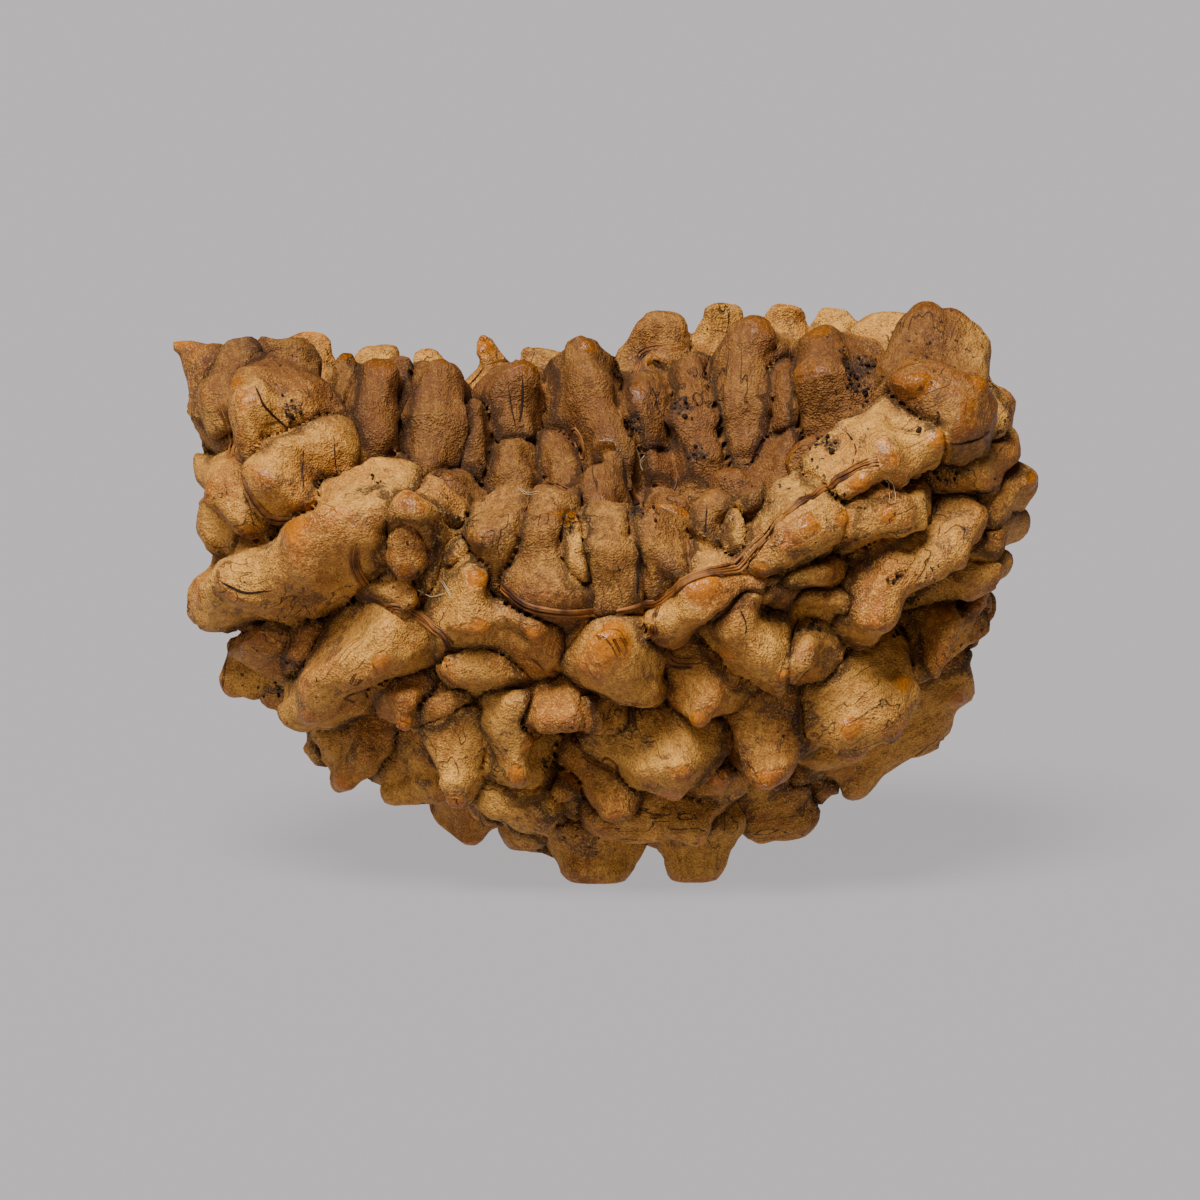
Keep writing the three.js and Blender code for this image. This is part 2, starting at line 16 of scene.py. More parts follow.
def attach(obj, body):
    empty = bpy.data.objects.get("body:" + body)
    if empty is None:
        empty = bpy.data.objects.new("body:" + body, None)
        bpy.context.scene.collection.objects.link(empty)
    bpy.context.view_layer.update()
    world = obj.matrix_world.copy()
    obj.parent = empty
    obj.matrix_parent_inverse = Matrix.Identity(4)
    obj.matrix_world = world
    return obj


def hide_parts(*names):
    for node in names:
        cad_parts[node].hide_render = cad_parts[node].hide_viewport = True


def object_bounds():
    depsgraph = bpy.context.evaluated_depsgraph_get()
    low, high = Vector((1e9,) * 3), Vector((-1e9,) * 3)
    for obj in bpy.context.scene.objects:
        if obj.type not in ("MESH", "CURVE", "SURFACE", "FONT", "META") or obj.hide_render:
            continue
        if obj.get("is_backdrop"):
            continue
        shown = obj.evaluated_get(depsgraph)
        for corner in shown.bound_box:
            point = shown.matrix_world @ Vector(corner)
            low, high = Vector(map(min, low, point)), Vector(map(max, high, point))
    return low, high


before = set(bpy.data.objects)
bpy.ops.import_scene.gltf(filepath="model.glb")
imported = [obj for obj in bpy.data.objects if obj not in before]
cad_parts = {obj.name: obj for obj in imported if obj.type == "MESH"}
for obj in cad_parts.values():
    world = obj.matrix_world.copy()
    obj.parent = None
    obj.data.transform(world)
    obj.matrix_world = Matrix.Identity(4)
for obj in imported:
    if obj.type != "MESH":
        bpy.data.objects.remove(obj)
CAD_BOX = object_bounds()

MM = 0.001  # metres in a millimetre
STONE = "rudraksha_stone"
print("solid's box in mm:", [[round(n / MM, 2) for n in corner] for corner in CAD_BOX])

# %% [markdown]
# The camera comes first, because the knobs are placed as they show from it. The photograph
# looks 10 degrees down on the stone, from far away, so a long lens keeps the sides parallel.
# Its frame is 40 mm wide at the stone, with the stone's middle 9 mm above the lowest point.

# %% The camera
VIEW_RISE = math.radians(10)
VIEW_WIDTH = 40 * MM
VIEW_DISTANCE = 400 * MM
VIEW_MIDDLE = 9.0  # mm up the picture from the height where the ground's origin shows
BOX_MIDDLE = np.array([0.17, 0.18, 0.0]) * MM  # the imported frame's origin, from the knobs' own
SENSOR = 36

LOOKING = np.array([0.0, math.cos(VIEW_RISE), -math.sin(VIEW_RISE)])
SEEN_UP = np.array([0.0, math.sin(VIEW_RISE), math.cos(VIEW_RISE)])

camera_data = bpy.data.cameras.new("camera")
camera_data.sensor_width = SENSOR
camera_data.lens = SENSOR * VIEW_DISTANCE / VIEW_WIDTH
camera_data.clip_start = 10 * MM
camera = bpy.data.objects.new("camera", camera_data)
aim = Vector(SEEN_UP * VIEW_MIDDLE * MM - BOX_MIDDLE)
camera.location = aim - Vector(LOOKING) * VIEW_DISTANCE
camera.rotation_euler = Vector(LOOKING).to_track_quat("-Z", "Y").to_euler()
bpy.context.scene.collection.objects.link(camera)
bpy.context.scene.camera = camera
print("lens in mm:", camera_data.lens)

# %% [markdown]
# The stone under its knobs is an egg-shaped disc, flattened on top and scooped out in front.
# It could be modelled as a mesh and sculpted, but a distance to it says more: how far any
# point lies above the bare stone. The knobs stand on that surface, and later the wear follows
# it. The numbers are the solid's own, in millimetres.

# %% The core under the knobs
CORE = {"centre": (0.2, 0.5, 13.5), "radii": (12.9, 7.6, 12.4)}
SCOOP = {"centre": (-0.5, -3.9, 21.0), "radii": (12.9, 8.6, 9.5)}
TOP_HEIGHT = 16.6
TOP_SLOPE = 0.045
TOP_FALL = 0.32
EDGE_ROUNDING = 1.0


def ellipsoid_distance(points, centre, radii):
    """k (k - 1) / |q / r^2|, where q is the offset from the centre, r the radii and k = |q / r|.
    It is zero on the ellipsoid and close to the true distance near it."""
    scaled = (points - np.array(centre)) / np.array(radii)
    twice = scaled / np.array(radii)
    k = np.linalg.norm(scaled, axis=-1)
    return k * (k - 1) / np.maximum(np.linalg.norm(twice, axis=-1), 1e-9)


def smooth_max(a, b, radius):
    """The larger of two distances, plus radius/4 times (1 - |a - b| / radius) squared where
    they differ by less than the radius, which rounds the edge between them."""
    h = np.maximum(radius - np.abs(a - b), 0) / radius
    return np.maximum(a, b) + h * h * radius / 4


def core_distance(points):
    """The disc's distance, cut by the sloping top and by the inside of the scoop."""
    disc = ellipsoid_distance(points, **CORE)
    top = points[..., 2] - TOP_HEIGHT - TOP_SLOPE * points[..., 0] + TOP_FALL * points[..., 1]
    scoop = -ellipsoid_distance(points, **SCOOP)
    return smooth_max(smooth_max(disc, top, EDGE_ROUNDING), scoop, EDGE_ROUNDING)


def core_normal(point):
    """The direction in which the core's distance grows fastest, by central differences."""
    steps = np.eye(3) * 0.01
    slope = core_distance(point + steps) - core_distance(point - steps)
    return slope / np.linalg.norm(slope)


print("core's height over the middle in mm:", TOP_HEIGHT)

# %% [markdown]
# Every knob was placed as it shows from the front: a foot, the two ends of its crest, how far
# the crest rises over the bare stone, and two radii. A knob with shoulders is a few such lobes
# that melt together. The same lists made the solid, so the two agree. Only three knobs are
# smaller here: the first two of the upper left, where the horn's arm takes over, and the last of
# the outer row.

# %% The knobs of the front: foot x and height, crest ends, rise, foot's and crest's radius
FRONT_KNOBS = {
    "topLeft": [
        [[-12.7, 16.4, -13.4, 16.75, -12.9, 16.8, 0.8, 0.5, 0.24]],
        [[-11.8, 16.6, -12.1, 16.9, -11.2, 17.1, 0.8, 0.8, 0.4]],
        [[-11.2, 15.0, -11.0, 16.2, -11.6, 14.2, 1.5, 0.95, 0.6]],
        [[-10.4, 16.7, -10.8, 17.3, -9.9, 17.3, 1.2, 0.9, 0.5]],
        [[-9.2, 16.4, -9.2, 17.1, -9.2, 16.2, 1.1, 0.4, 0.28]],
        [[-8.4, 15.8, -8.5, 16.9, -8.3, 15.4, 1.2, 0.65, 0.4]],
        [[-8.5, 14.4, -8.8, 15.1, -8.2, 14.0, 0.6, 0.6, 0.3]],
    ],
    "leftSide": [
        [[-12.9, 15.3, -13.0, 15.6, -12.7, 15.0, 0.6, 0.65, 0.4]],
        [[-12.9, 14.2, -13.1, 14.1, -12.7, 14.4, 0.7, 0.6, 0.4]],
        [[-12.1, 12.6, -12.9, 13.3, -11.6, 12.0, 1.6, 0.95, 0.6]],
        [[-10.3, 12.8, -10.8, 13.4, -9.9, 13.9, 2.0, 0.85, 0.4]],
        [[-9.3, 13.2, -9.5, 14.2, -9.1, 13.9, 2.0, 0.6, 0.35]],
        [[-8.3, 13.1, -8.5, 14.0, -8.0, 13.0, 1.3, 0.6, 0.3]],
        [[-12.9, 11.7, -13.3, 12.3, -13.0, 11.1, 0.9, 0.8, 0.45]],
        [[-12.6, 10.5, -13.0, 10.6, -12.2, 10.6, 0.9, 0.8, 0.5]],
        [[-12.6, 9.2, -13.3, 9.5, -12.9, 8.5, 1.2, 1.0, 0.55]],
    ],
    "leftFront": [
        [
            [-9.6, 10.2, -10.2, 10.9, -8.9, 10.6, 2.0, 1.5, 0.8],
            [-11.2, 9.8, -11.8, 9.6, -10.8, 10.5, 1.6, 1.1, 0.6],
            [-9.9, 9.1, -10.8, 8.9, -8.9, 8.9, 1.2, 0.8, 0.4],
        ],
        [[-7.9, 11.6, -8.5, 12.0, -7.2, 12.4, 2.0, 0.9, 0.4]],
        [[-5.8, 11.1, -6.3, 12.3, -5.5, 12.1, 2.0, 1.0, 0.5]],
        [[-7.4, 10.4, -7.5, 10.5, -7.2, 10.3, 0.5, 0.6, 0.3]],
        [[-6.3, 9.2, -6.4, 9.8, -6.3, 9.3, 1.5, 1.0, 0.3]],
        [
            [-11.2, 7.2, -11.9, 6.3, -11.4, 6.9, 1.2, 1.1, 0.6],
            [-10.8, 7.5, -11.0, 7.5, -10.5, 7.7, 1.0, 0.8, 0.5],
        ],
        [
            [-8.2, 7.2, -7.4, 7.1, -8.8, 6.1, 1.9, 1.1, 0.45],
            [-9.7, 6.0, -8.8, 6.1, -9.8, 5.1, 1.7, 1.0, 0.5],
            [-6.8, 7.7, -7.3, 7.15, -5.9, 6.9, 1.8, 1.2, 0.45],
        ],
        [[-9.5, 7.5, -9.3, 7.9, -9.7, 7.1, 0.7, 0.8, 0.4]],
        [[-6.5, 6.0, -6.4, 4.9, -6.3, 5.5, 1.6, 0.9, 0.35]],
        [[-5.1, 5.7, -5.7, 5.4, -4.6, 5.9, 0.8, 0.8, 0.4]],
        [[-8.0, 4.3, -8.6, 3.0, -8.0, 3.6, 1.5, 1.1, 0.5]],
        [[-9.4, 4.1, -9.5, 3.9, -9.2, 4.2, 0.7, 0.8, 0.5]],
        [[-6.2, 3.2, -6.8, 2.7, -5.7, 2.6, 0.9, 1.1, 0.6]],
    ],
    "middle": [
        [
            [-4.2, 8.9, -4.0, 9.7, -4.1, 8.9, 1.8, 0.8, 0.4],
            [-4.1, 8.2, -3.9, 8.2, -4.2, 8.3, 1.9, 0.8, 0.45],
            [-2.2, 8.0, -3.0, 8.5, -2.2, 8.1, 1.7, 1.0, 0.45],
        ],
        [[-3.9, 6.9, -4.5, 6.7, -3.8, 6.9, 1.5, 0.8, 0.5]],
        [[0.4, 7.3, 0.2, 7.5, 0.6, 6.9, 2.2, 1.1, 0.95]],
        [[1.4, 6.1, 1.3, 5.8, 1.6, 5.8, 1.4, 0.7, 0.4]],
        [[3.2, 6.2, 3.1, 5.1, 3.3, 5.6, 1.8, 1.1, 0.4]],
        [
            [3.0, 8.7, 2.9, 8.8, 3.8, 9.5, 2.0, 0.9, 0.45],
            [5.0, 9.2, 4.2, 9.6, 5.5, 9.5, 1.6, 0.8, 0.4],
        ],
        [[4.4, 7.6, 5.0, 8.0, 5.6, 6.6, 2.0, 1.1, 0.4]],
        [[6.6, 7.2, 6.2, 6.5, 7.0, 7.0, 1.9, 0.9, 0.4]],
        [[5.2, 4.7, 5.2, 3.3, 5.7, 3.7, 1.8, 1.3, 0.5]],
        [
            [1.2, 4.0, 1.8, 2.8, 1.6, 3.2, 1.6, 0.9, 0.4],
            [2.6, 4.0, 2.3, 2.8, 2.4, 3.2, 1.6, 0.8, 0.4],
        ],
        [[3.8, 3.2, 3.9, 3.1, 3.7, 3.3, 0.9, 0.7, 0.3]],
        [[-4.3, 4.3, -4.6, 2.4, -4.5, 3.1, 1.7, 0.9, 0.4]],
        [
            [-3.1, 5.3, -2.9, 5.3, -3.0, 4.6, 1.4, 0.8, 0.5],
            [-2.7, 3.8, -2.6, 4.2, -2.45, 2.9, 2.0, 0.8, 0.45],
        ],
        [[-1.3, 5.7, -1.9, 4.7, -0.6, 4.9, 2.1, 1.0, 0.5]],
        [[0.2, 5.3, 0.0, 5.3, 0.1, 4.8, 1.5, 0.6, 0.35]],
        [[-2.7, 2.2, -2.6, 0.9, -2.3, 1.2, 1.3, 0.9, 0.4]],
        [[-1.4, 2.5, -1.6, 2.2, -1.2, 2.4, 0.9, 0.7, 0.35]],
        [[0.1, 3.1, 0.2, 2.0, 0.6, 2.0, 1.6, 0.9, 0.4]],
        [[-3.8, 1.9, -3.9, 1.5, -3.6, 1.5, 0.7, 0.8, 0.4]],
    ],
    "rightFront": [
        [
            [8.4, 6.2, 8.0, 4.8, 10.0, 6.1, 2.1, 1.3, 0.45],
            [7.2, 5.8, 7.4, 5.1, 7.3, 5.6, 1.4, 0.9, 0.5],
        ],
        [[7.9, 4.3, 7.8, 4.1, 8.4, 4.1, 0.9, 0.7, 0.4]],
        [[5.9, 2.4, 5.3, 1.6, 6.5, 1.5, 0.8, 0.9, 0.45]],
        [[9.0, 3.9, 9.0, 3.0, 9.5, 3.4, 1.2, 1.1, 0.5]],
        [[7.3, 2.8, 7.0, 2.6, 7.9, 2.9, 0.7, 1.0, 0.5]],
        [[11.2, 5.7, 11.7, 5.9, 11.1, 4.9, 1.2, 1.2, 0.6]],
        [[11.0, 7.6, 11.8, 8.3, 11.2, 7.0, 1.8, 1.0, 0.4]],
        [[12.0, 8.9, 12.5, 8.9, 12.3, 8.6, 1.2, 0.7, 0.35]],
        [[12.7, 9.6, 13.0, 9.7, 12.9, 9.2, 0.8, 0.8, 0.4]],
        [[9.2, 9.1, 9.9, 9.1, 9.0, 8.1, 1.9, 1.0, 0.4]],
        [[10.1, 10.2, 9.3, 10.1, 11.2, 10.6, 1.7, 0.9, 0.5]],
        [[8.2, 8.0, 7.7, 7.9, 8.6, 8.1, 1.3, 0.7, 0.4]],
        [[7.2, 8.8, 6.8, 9.0, 8.1, 8.8, 1.2, 0.9, 0.4]],
        [[6.8, 10.0, 6.3, 10.0, 7.4, 9.9, 1.4, 0.8, 0.45]],
        [[8.3, 9.7, 8.2, 9.8, 8.4, 9.6, 0.4, 0.5, 0.3]],
        [[6.0, 10.9, 5.3, 10.6, 6.6, 11.3, 1.4, 0.7, 0.4]],
        [[7.4, 11.3, 7.1, 11.6, 7.7, 11.7, 1.6, 0.8, 0.5]],
        [[9.0, 11.4, 8.5, 11.6, 9.6, 11.8, 1.7, 0.8, 0.5]],
        [[10.4, 11.9, 10.2, 12.1, 10.7, 12.1, 1.4, 0.7, 0.45]],
        [
            [9.4, 13.1, 8.6, 12.9, 10.0, 13.6, 1.8, 0.8, 0.5],
            [10.4, 13.5, 10.0, 13.6, 10.8, 14.0, 1.9, 0.9, 0.55],
        ],
        [[12.0, 14.5, 11.1, 14.5, 13.1, 14.9, 1.5, 0.8, 0.45]],
        [[12.5, 13.4, 12.0, 13.3, 13.1, 13.8, 1.6, 0.9, 0.5]],
        [[11.9, 11.3, 12.3, 11.8, 11.7, 11.0, 1.7, 0.8, 0.4]],
        [[13.2, 12.5, 13.0, 12.4, 14.2, 12.7, 1.2, 0.7, 0.4]],
        [[13.1, 11.4, 13.0, 11.4, 13.9, 11.7, 1.0, 0.65, 0.4]],
        [[12.3, 10.1, 12.1, 10.3, 12.8, 10.5, 0.9, 0.8, 0.4]],
    ],
    "rightTop": [
        [[7.0, 13.3, 6.7, 14.1, 7.6, 14.1, 1.9, 0.8, 0.5]],
        [[8.6, 13.8, 8.2, 14.3, 9.3, 14.7, 1.7, 0.8, 0.35]],
        [[10.5, 15.1, 10.2, 15.8, 10.9, 16.0, 1.6, 0.9, 0.5]],
        [[12.2, 15.5, 12.2, 15.9, 12.4, 15.9, 1.2, 0.6, 0.4]],
        [[13.2, 15.4, 13.0, 15.7, 13.5, 15.6, 1.1, 0.7, 0.45]],
    ],
    "rimTeeth": [
        [[-1.5, 10.2, -1.5, 11.6, -1.7, 9.9, 1.7, 0.72, 0.5]],
        [[-0.8, 10.2, -0.8, 11.5, -0.8, 9.9, 1.7, 0.54, 0.39]],
        [[0.4, 10.1, 0.2, 11.2, 0.5, 9.7, 1.5, 0.78, 0.44]],
        [
            [1.9, 10.1, 1.8, 10.9, 1.9, 9.8, 1.4, 0.72, 0.39],
            [3.0, 10.3, 2.3, 10.9, 3.8, 10.5, 1.0, 0.66, 0.33],
        ],
        [[3.6, 11.0, 3.3, 12.3, 3.6, 10.9, 1.2, 0.5, 0.35]],
        [
            [4.6, 11.1, 4.3, 12.5, 4.6, 11.1, 1.3, 0.75, 0.4],
            [5.6, 11.4, 5.3, 12.4, 5.6, 11.4, 1.2, 0.65, 0.35],
        ],
        [[-3.4, 10.7, -3.2, 11.5, -3.5, 10.3, 1.6, 1.02, 0.5]],
        [[-4.6, 10.5, -4.7, 10.8, -4.5, 10.2, 0.8, 0.6, 0.33]],
    ],
    "innerWall": [
        [
            [-7.1, 15.7, -7.5, 16.4, -6.7, 16.9, 1.3, 0.88, 0.42],
            [-7.1, 14.3, -7.1, 15.2, -7.1, 13.7, 1.2, 0.88, 0.48],
        ],
        [[-5.4, 14.8, -5.3, 16.4, -5.5, 13.9, 1.4, 0.94, 0.6]],
        [[-4.1, 14.3, -4.1, 15.3, -4.1, 13.5, 1.1, 0.62, 0.42]],
        [
            [-3.1, 15.5, -3.2, 16.3, -3.1, 14.9, 1.5, 0.69, 0.48],
            [-2.3, 15.5, -2.4, 16.3, -2.3, 15.0, 1.4, 0.62, 0.46],
        ],
        [[-2.9, 13.2, -2.8, 13.9, -2.9, 12.7, 1.0, 0.94, 0.48]],
        [[-1.3, 13.3, -1.4, 14.1, -1.2, 12.8, 1.0, 0.88, 0.42]],
        [
            [-0.3, 16.3, -0.4, 17.3, -0.2, 15.9, 1.7, 0.69, 0.54],
            [0.1, 14.6, -0.1, 15.6, 0.3, 13.9, 1.7, 0.81, 0.6],
            [0.7, 13.0, 0.5, 13.6, 0.8, 12.5, 1.4, 0.62, 0.42],
        ],
        [[0.0, 12.5, 0.25, 13.6, -0.05, 12.4, 2.3, 0.53, 0.48]],
        [[1.6, 15.6, 1.6, 16.9, 1.6, 14.7, 1.4, 0.81, 0.54]],
        [[3.3, 15.4, 3.05, 17.0, 3.6, 14.0, 1.5, 0.69, 0.48]],
        [
            [4.8, 16.4, 4.8, 17.7, 4.75, 15.5, 1.7, 1.0, 0.72],
            [4.7, 14.3, 4.7, 14.9, 4.7, 13.8, 1.0, 0.69, 0.42],
        ],
        [[6.0, 15.6, 6.1, 16.6, 5.9, 14.9, 1.1, 0.69, 0.42]],
        [[7.2, 16.4, 7.25, 17.8, 7.15, 15.6, 1.7, 1.0, 0.66]],
        [[8.5, 16.6, 8.4, 17.3, 8.5, 16.2, 0.6, 0.62, 0.36]],
        [[10.2, 16.7, 10.5, 17.4, 10.0, 16.0, 1.6, 1.25, 0.78]],
        [[12.4, 16.6, 12.2, 16.9, 12.9, 16.5, 0.9, 0.94, 0.6]],
        [[2.1, 13.5, 1.9, 13.7, 2.4, 13.5, 0.6, 0.75, 0.42]],
        [[2.3, 12.2, 2.1, 12.4, 2.6, 12.2, 0.5, 0.75, 0.42]],
        [[6.0, 13.8, 6.1, 14.3, 6.0, 13.5, 0.6, 0.62, 0.36]],
        [[-4.7, 12.3, -4.8, 12.9, -4.5, 12.1, 0.8, 0.81, 0.42]],
        [[-6.6, 13.1, -6.6, 13.4, -6.4, 12.9, 0.5, 0.75, 0.42]],
    ],
}

# %% The outer row of the back wall, and the knobs that it stands on: foot, crest ends, radii
BACK_ROW = [
    [-11.9, 2.6, 15.6, -12.4, 2.4, 16.7, -11.4, 2.7, 17.2, 1.0, 0.45],
    [-9.8, 4.4, 15.2, -10.0, 4.4, 17.2, -9.5, 4.5, 17.0, 1.0, 0.4],
    [-7.8, 4.9, 15.0, -8.0, 4.9, 16.6, -7.5, 5.0, 16.6, 1.0, 0.45],
    [-6.0, 5.2, 14.9, -6.2, 5.1, 16.4, -5.9, 5.1, 16.3, 0.9, 0.4],
    [-3.9, 5.4, 14.9, -3.9, 5.2, 16.9, -3.9, 5.4, 16.4, 0.9, 0.45],
    [-1.8, 5.4, 15.0, -2.4, 5.3, 16.3, -1.2, 5.3, 16.5, 1.0, 0.4],
    [0.2, 5.0, 15.1, 0.2, 4.9, 16.2, 0.2, 5.5, 15.9, 0.9, 0.4],
    [1.9, 5.2, 15.4, 1.3, 5.0, 17.5, 2.3, 5.0, 17.4, 1.0, 0.5],
    [4.0, 5.6, 15.6, 3.7, 5.4, 18.0, 4.2, 5.5, 18.2, 1.0, 0.5],
    [6.1, 5.5, 15.7, 5.8, 5.3, 17.8, 6.5, 5.3, 17.7, 1.0, 0.5],
    [8.0, 5.2, 15.8, 7.7, 5.1, 17.8, 8.1, 5.3, 17.7, 0.9, 0.4],
    [9.8, 4.6, 15.8, 9.1, 4.7, 17.3, 10.4, 4.4, 17.9, 1.0, 0.5],
    [11.5, 3.3, 15.4, 10.9, 3.6, 16.8, 12.0, 3.0, 16.3, 1.0, 0.45],
]

STANDING_KNOBS = [
    [-0.1, -1.6, 1.7, -0.7, -1.9, 0.05, 0.5, -1.9, 0.05, 0.9, 0.5],
    [3.2, -1.5, 1.8, 2.8, -1.8, 0.1, 3.4, -1.7, 0.1, 0.9, 0.45],
    [-2.2, 3.6, 1.9, -2.7, 3.8, 0.1, -1.9, 4.0, 0.1, 0.9, 0.45],
    [2.6, 3.6, 1.9, 2.2, 4.0, 0.1, 3.1, 3.8, 0.1, 0.9, 0.45],
]
front_count = sum(len(group) for group in FRONT_KNOBS.values())
print("knobs placed by hand:", front_count + len(BACK_ROW) + len(STANDING_KNOBS))

# %% [markdown]
# A lobe is a row of round cones, side by side, from a foot sunk in the stone to its crest. A
# crest near the outline has no surface behind it, so its depth is searched for near its foot.

# %% Lobes in space
FOOT_SINK = 0.35
FOOT_SPREAD = 1.65
TIP_SPREAD = 1.15
FOOT_LENGTH = 0.7
CREST_REACH = 2.2
LOWER_HALF = 11.5  # below it the knobs' narrow ends hang down, above it they stand up
TAPER = 0.32  # how much a knob narrows from its middle to its narrow end
STANDING_WIDTH = 0.6  # the real feet touch the ground with less of their crest than the solid's
STANDING_TIP = 1.15  # but end in a broad round tip
STANDING_CUT = 0.35  # and are this much shorter, so that the ground doesn't cut them wide


def sight_points(x, height, depths):
    """The points at these depths on the sight line that shows at (x, height)."""
    start = np.array([x, 0.0, 0.0]) + SEEN_UP * height
    return start + LOOKING * np.asarray(depths)[:, None]


def depth_of_core(x, height):
    """Where the sight line first meets the core, or else passes nearest to it."""
    depths = np.arange(-16, 16, 0.1)
    distance = core_distance(sight_points(x, height, depths))
    inside = np.nonzero(distance <= 0)[0]
    return depths[inside[0]] if len(inside) else depths[np.argmin(distance)]


def crest_point(x, height, rise, foot_depth):
    """The point of the sight line that lies nearest to this rise, less a pull to the foot."""
    shifts = np.arange(-CREST_REACH, CREST_REACH + 0.001, 0.1)
    points = sight_points(x, height, foot_depth + shifts)
    fault = np.abs(core_distance(points) - rise) + 0.25 * np.abs(shifts)
    return points[np.argmin(fault)]


def make_lobe(knob, foot, crest_a, crest_b, foot_size, tip_size):
    """A lobe's own frame: its axis from foot to crest, its length along the crest, its side."""
    axis = (crest_a + crest_b) / 2 - foot
    height = np.linalg.norm(axis)
    axis = axis / height
    along = (crest_b - crest_a) - axis * np.dot(crest_b - crest_a, axis)
    if np.linalg.norm(along) < 0.05:
        along = np.cross([1, 0.3, 0.2], axis)
    length = along / np.linalg.norm(along)
    return {
        "knob": knob,
        "foot": foot,
        "axis": axis,
        "length": length,
        "side": np.cross(axis, length),
        "height": height,
        "half": np.linalg.norm(crest_b - crest_a) / 2,
        "foot_radius": foot_size * FOOT_SPREAD,
        "tip_radius": tip_size * TIP_SPREAD,
        "taper": TAPER * length[2] * (1 if foot[2] > LOWER_HALF else -1),
        "spurs": 3 + knob % 3,
        "phase": 2.4 * knob + foot[0],
    }


def front_lobe(knob, foot_x, foot_height, ax, a_height, bx, b_height, rise, foot_size, tip_size):
    """A lobe placed as it shows from the front."""
    depth = depth_of_core(foot_x, foot_height)
    surface = sight_points(foot_x, foot_height, [depth])[0]
    normal = core_normal(surface)
    surface = surface - normal * core_distance(surface)
    foot = surface - normal * FOOT_SINK * foot_size
    top = rise - tip_size / 2
    crest_a = crest_point(ax, a_height, top, depth)
    crest_b = crest_point(bx, b_height, top, depth)
    return make_lobe(knob, foot, crest_a, crest_b, foot_size, tip_size)


def lobe_in_space(knob, numbers):
    """A lobe placed by its points: foot, crest ends, then its two radii."""
    foot, crest_a, crest_b = np.array(numbers[:9]).reshape(3, 3)
    return make_lobe(knob, foot, crest_a, crest_b, numbers[9], numbers[10])


lobes = []
knobs = 0
for group in FRONT_KNOBS.values():
    for knob_lobes in group:
        lobes += [front_lobe(knobs, *numbers) for numbers in knob_lobes]
        knobs += 1
for numbers in BACK_ROW + STANDING_KNOBS:
    lobes.append(lobe_in_space(knobs, numbers))
    knobs += 1
for lobe in lobes[-len(STANDING_KNOBS) :]:
    lobe["half"] = lobe["half"] * STANDING_WIDTH
    lobe["height"] = lobe["height"] - STANDING_CUT
    lobe["tip_radius"] = STANDING_TIP
print("lobes placed:", len(lobes), "in", knobs, "knobs")

# %% [markdown]
# The back and the underside don't show in the photograph. A rule covers them: directions on an
# even spiral are tried in turn, and one gets a knob where no foot is nearer than the spacing.
# The draws come from a small generator with a fixed seed, so they are the solid's draws too.

# %% The knobs of the hidden sides
FILL_SPACING = 2.7
FILL_TRIES = 1500
FILL_HEART = np.array([0.2, 2.6, 7.0])
FILL_SEED = 108
FILL_GROUND_GAP = 0.65
FILL_RISE = (0.75, 1.5)
FILL_HALF_CREST = (0.2, 0.7)
FILL_FOOT = (1.0, 1.2)
FILL_TIP = (0.38, 0.53)
FILL_LEAN = (0, 0.45)
FILL_LOW = 4.4  # under this height the real knobs are flatter and narrower than the solid's
FILL_LOW_SHARE = 0.72  # of the solid's height
FILL_LOW_FOOT = 0.9  # of the solid's radius at the foot


def seeded_draws(seed):
    """Numbers from 0 to 1: each state is the last one times 16807, modulo 2^31 - 1."""
    state = seed
    while True:
        state = state * 16807 % 2147483647
        yield state / 2147483647


def turned(vector, axis, angle):
    """A vector at right angles to the axis, turned about it."""
    return vector * math.cos(angle) + np.cross(axis, vector) * math.sin(angle)


def spiral_surface():
    """The core's surface along each direction of an even spiral over the whole sphere."""
    i = np.arange(FILL_TRIES)
    up = 1 - 2 * (i + 0.5) / FILL_TRIES
    flat = np.sqrt(1 - up * up)
    angle = i * math.pi * (3 - math.sqrt(5))
    directions = np.stack([flat * np.cos(angle), flat * np.sin(angle), up], axis=1)
    steps = np.arange(0, 20, 0.05)
    rays = FILL_HEART + directions[:, None, :] * steps[None, :, None]
    first_out = np.argmax(core_distance(rays) >= 0, axis=1)
    return rays[i, first_out]


draws = seeded_draws(FILL_SEED)


def between(limits):
    return limits[0] + (limits[1] - limits[0]) * next(draws)


feet = [lobe["foot"] for lobe in lobes]
for surface in spiral_surface():
    if np.min(np.linalg.norm(np.array(feet) - surface, axis=1)) < FILL_SPACING:
        continue
    normal = core_normal(surface)
    across = np.cross([0.13, 0.31, 1], normal)
    across = across / np.linalg.norm(across)
    along = turned(across, normal, between((0, 2 * math.pi)))
    leaning = turned(across, normal, between((0, 2 * math.pi)))
    room = (surface[2] - FILL_GROUND_GAP) / max(-normal[2], 0.1)
    rise = min(between(FILL_RISE), room)
    half = between(FILL_HALF_CREST)
    foot_size = between(FILL_FOOT)
    tip_size = between(FILL_TIP)
    foot = surface - normal * FOOT_SINK * foot_size
    crest = surface + normal * rise + leaning * between(FILL_LEAN)
    feet.append(surface)
    reach = along * half
    lobes.append(make_lobe(knobs, foot, crest + reach, crest - reach, foot_size, tip_size))
    if surface[2] < FILL_LOW:
        lobes[-1]["height"] *= FILL_LOW_SHARE
        lobes[-1]["foot_radius"] *= FILL_LOW_FOOT
    knobs += 1
print("lobes in all:", len(lobes), "in", knobs, "knobs")

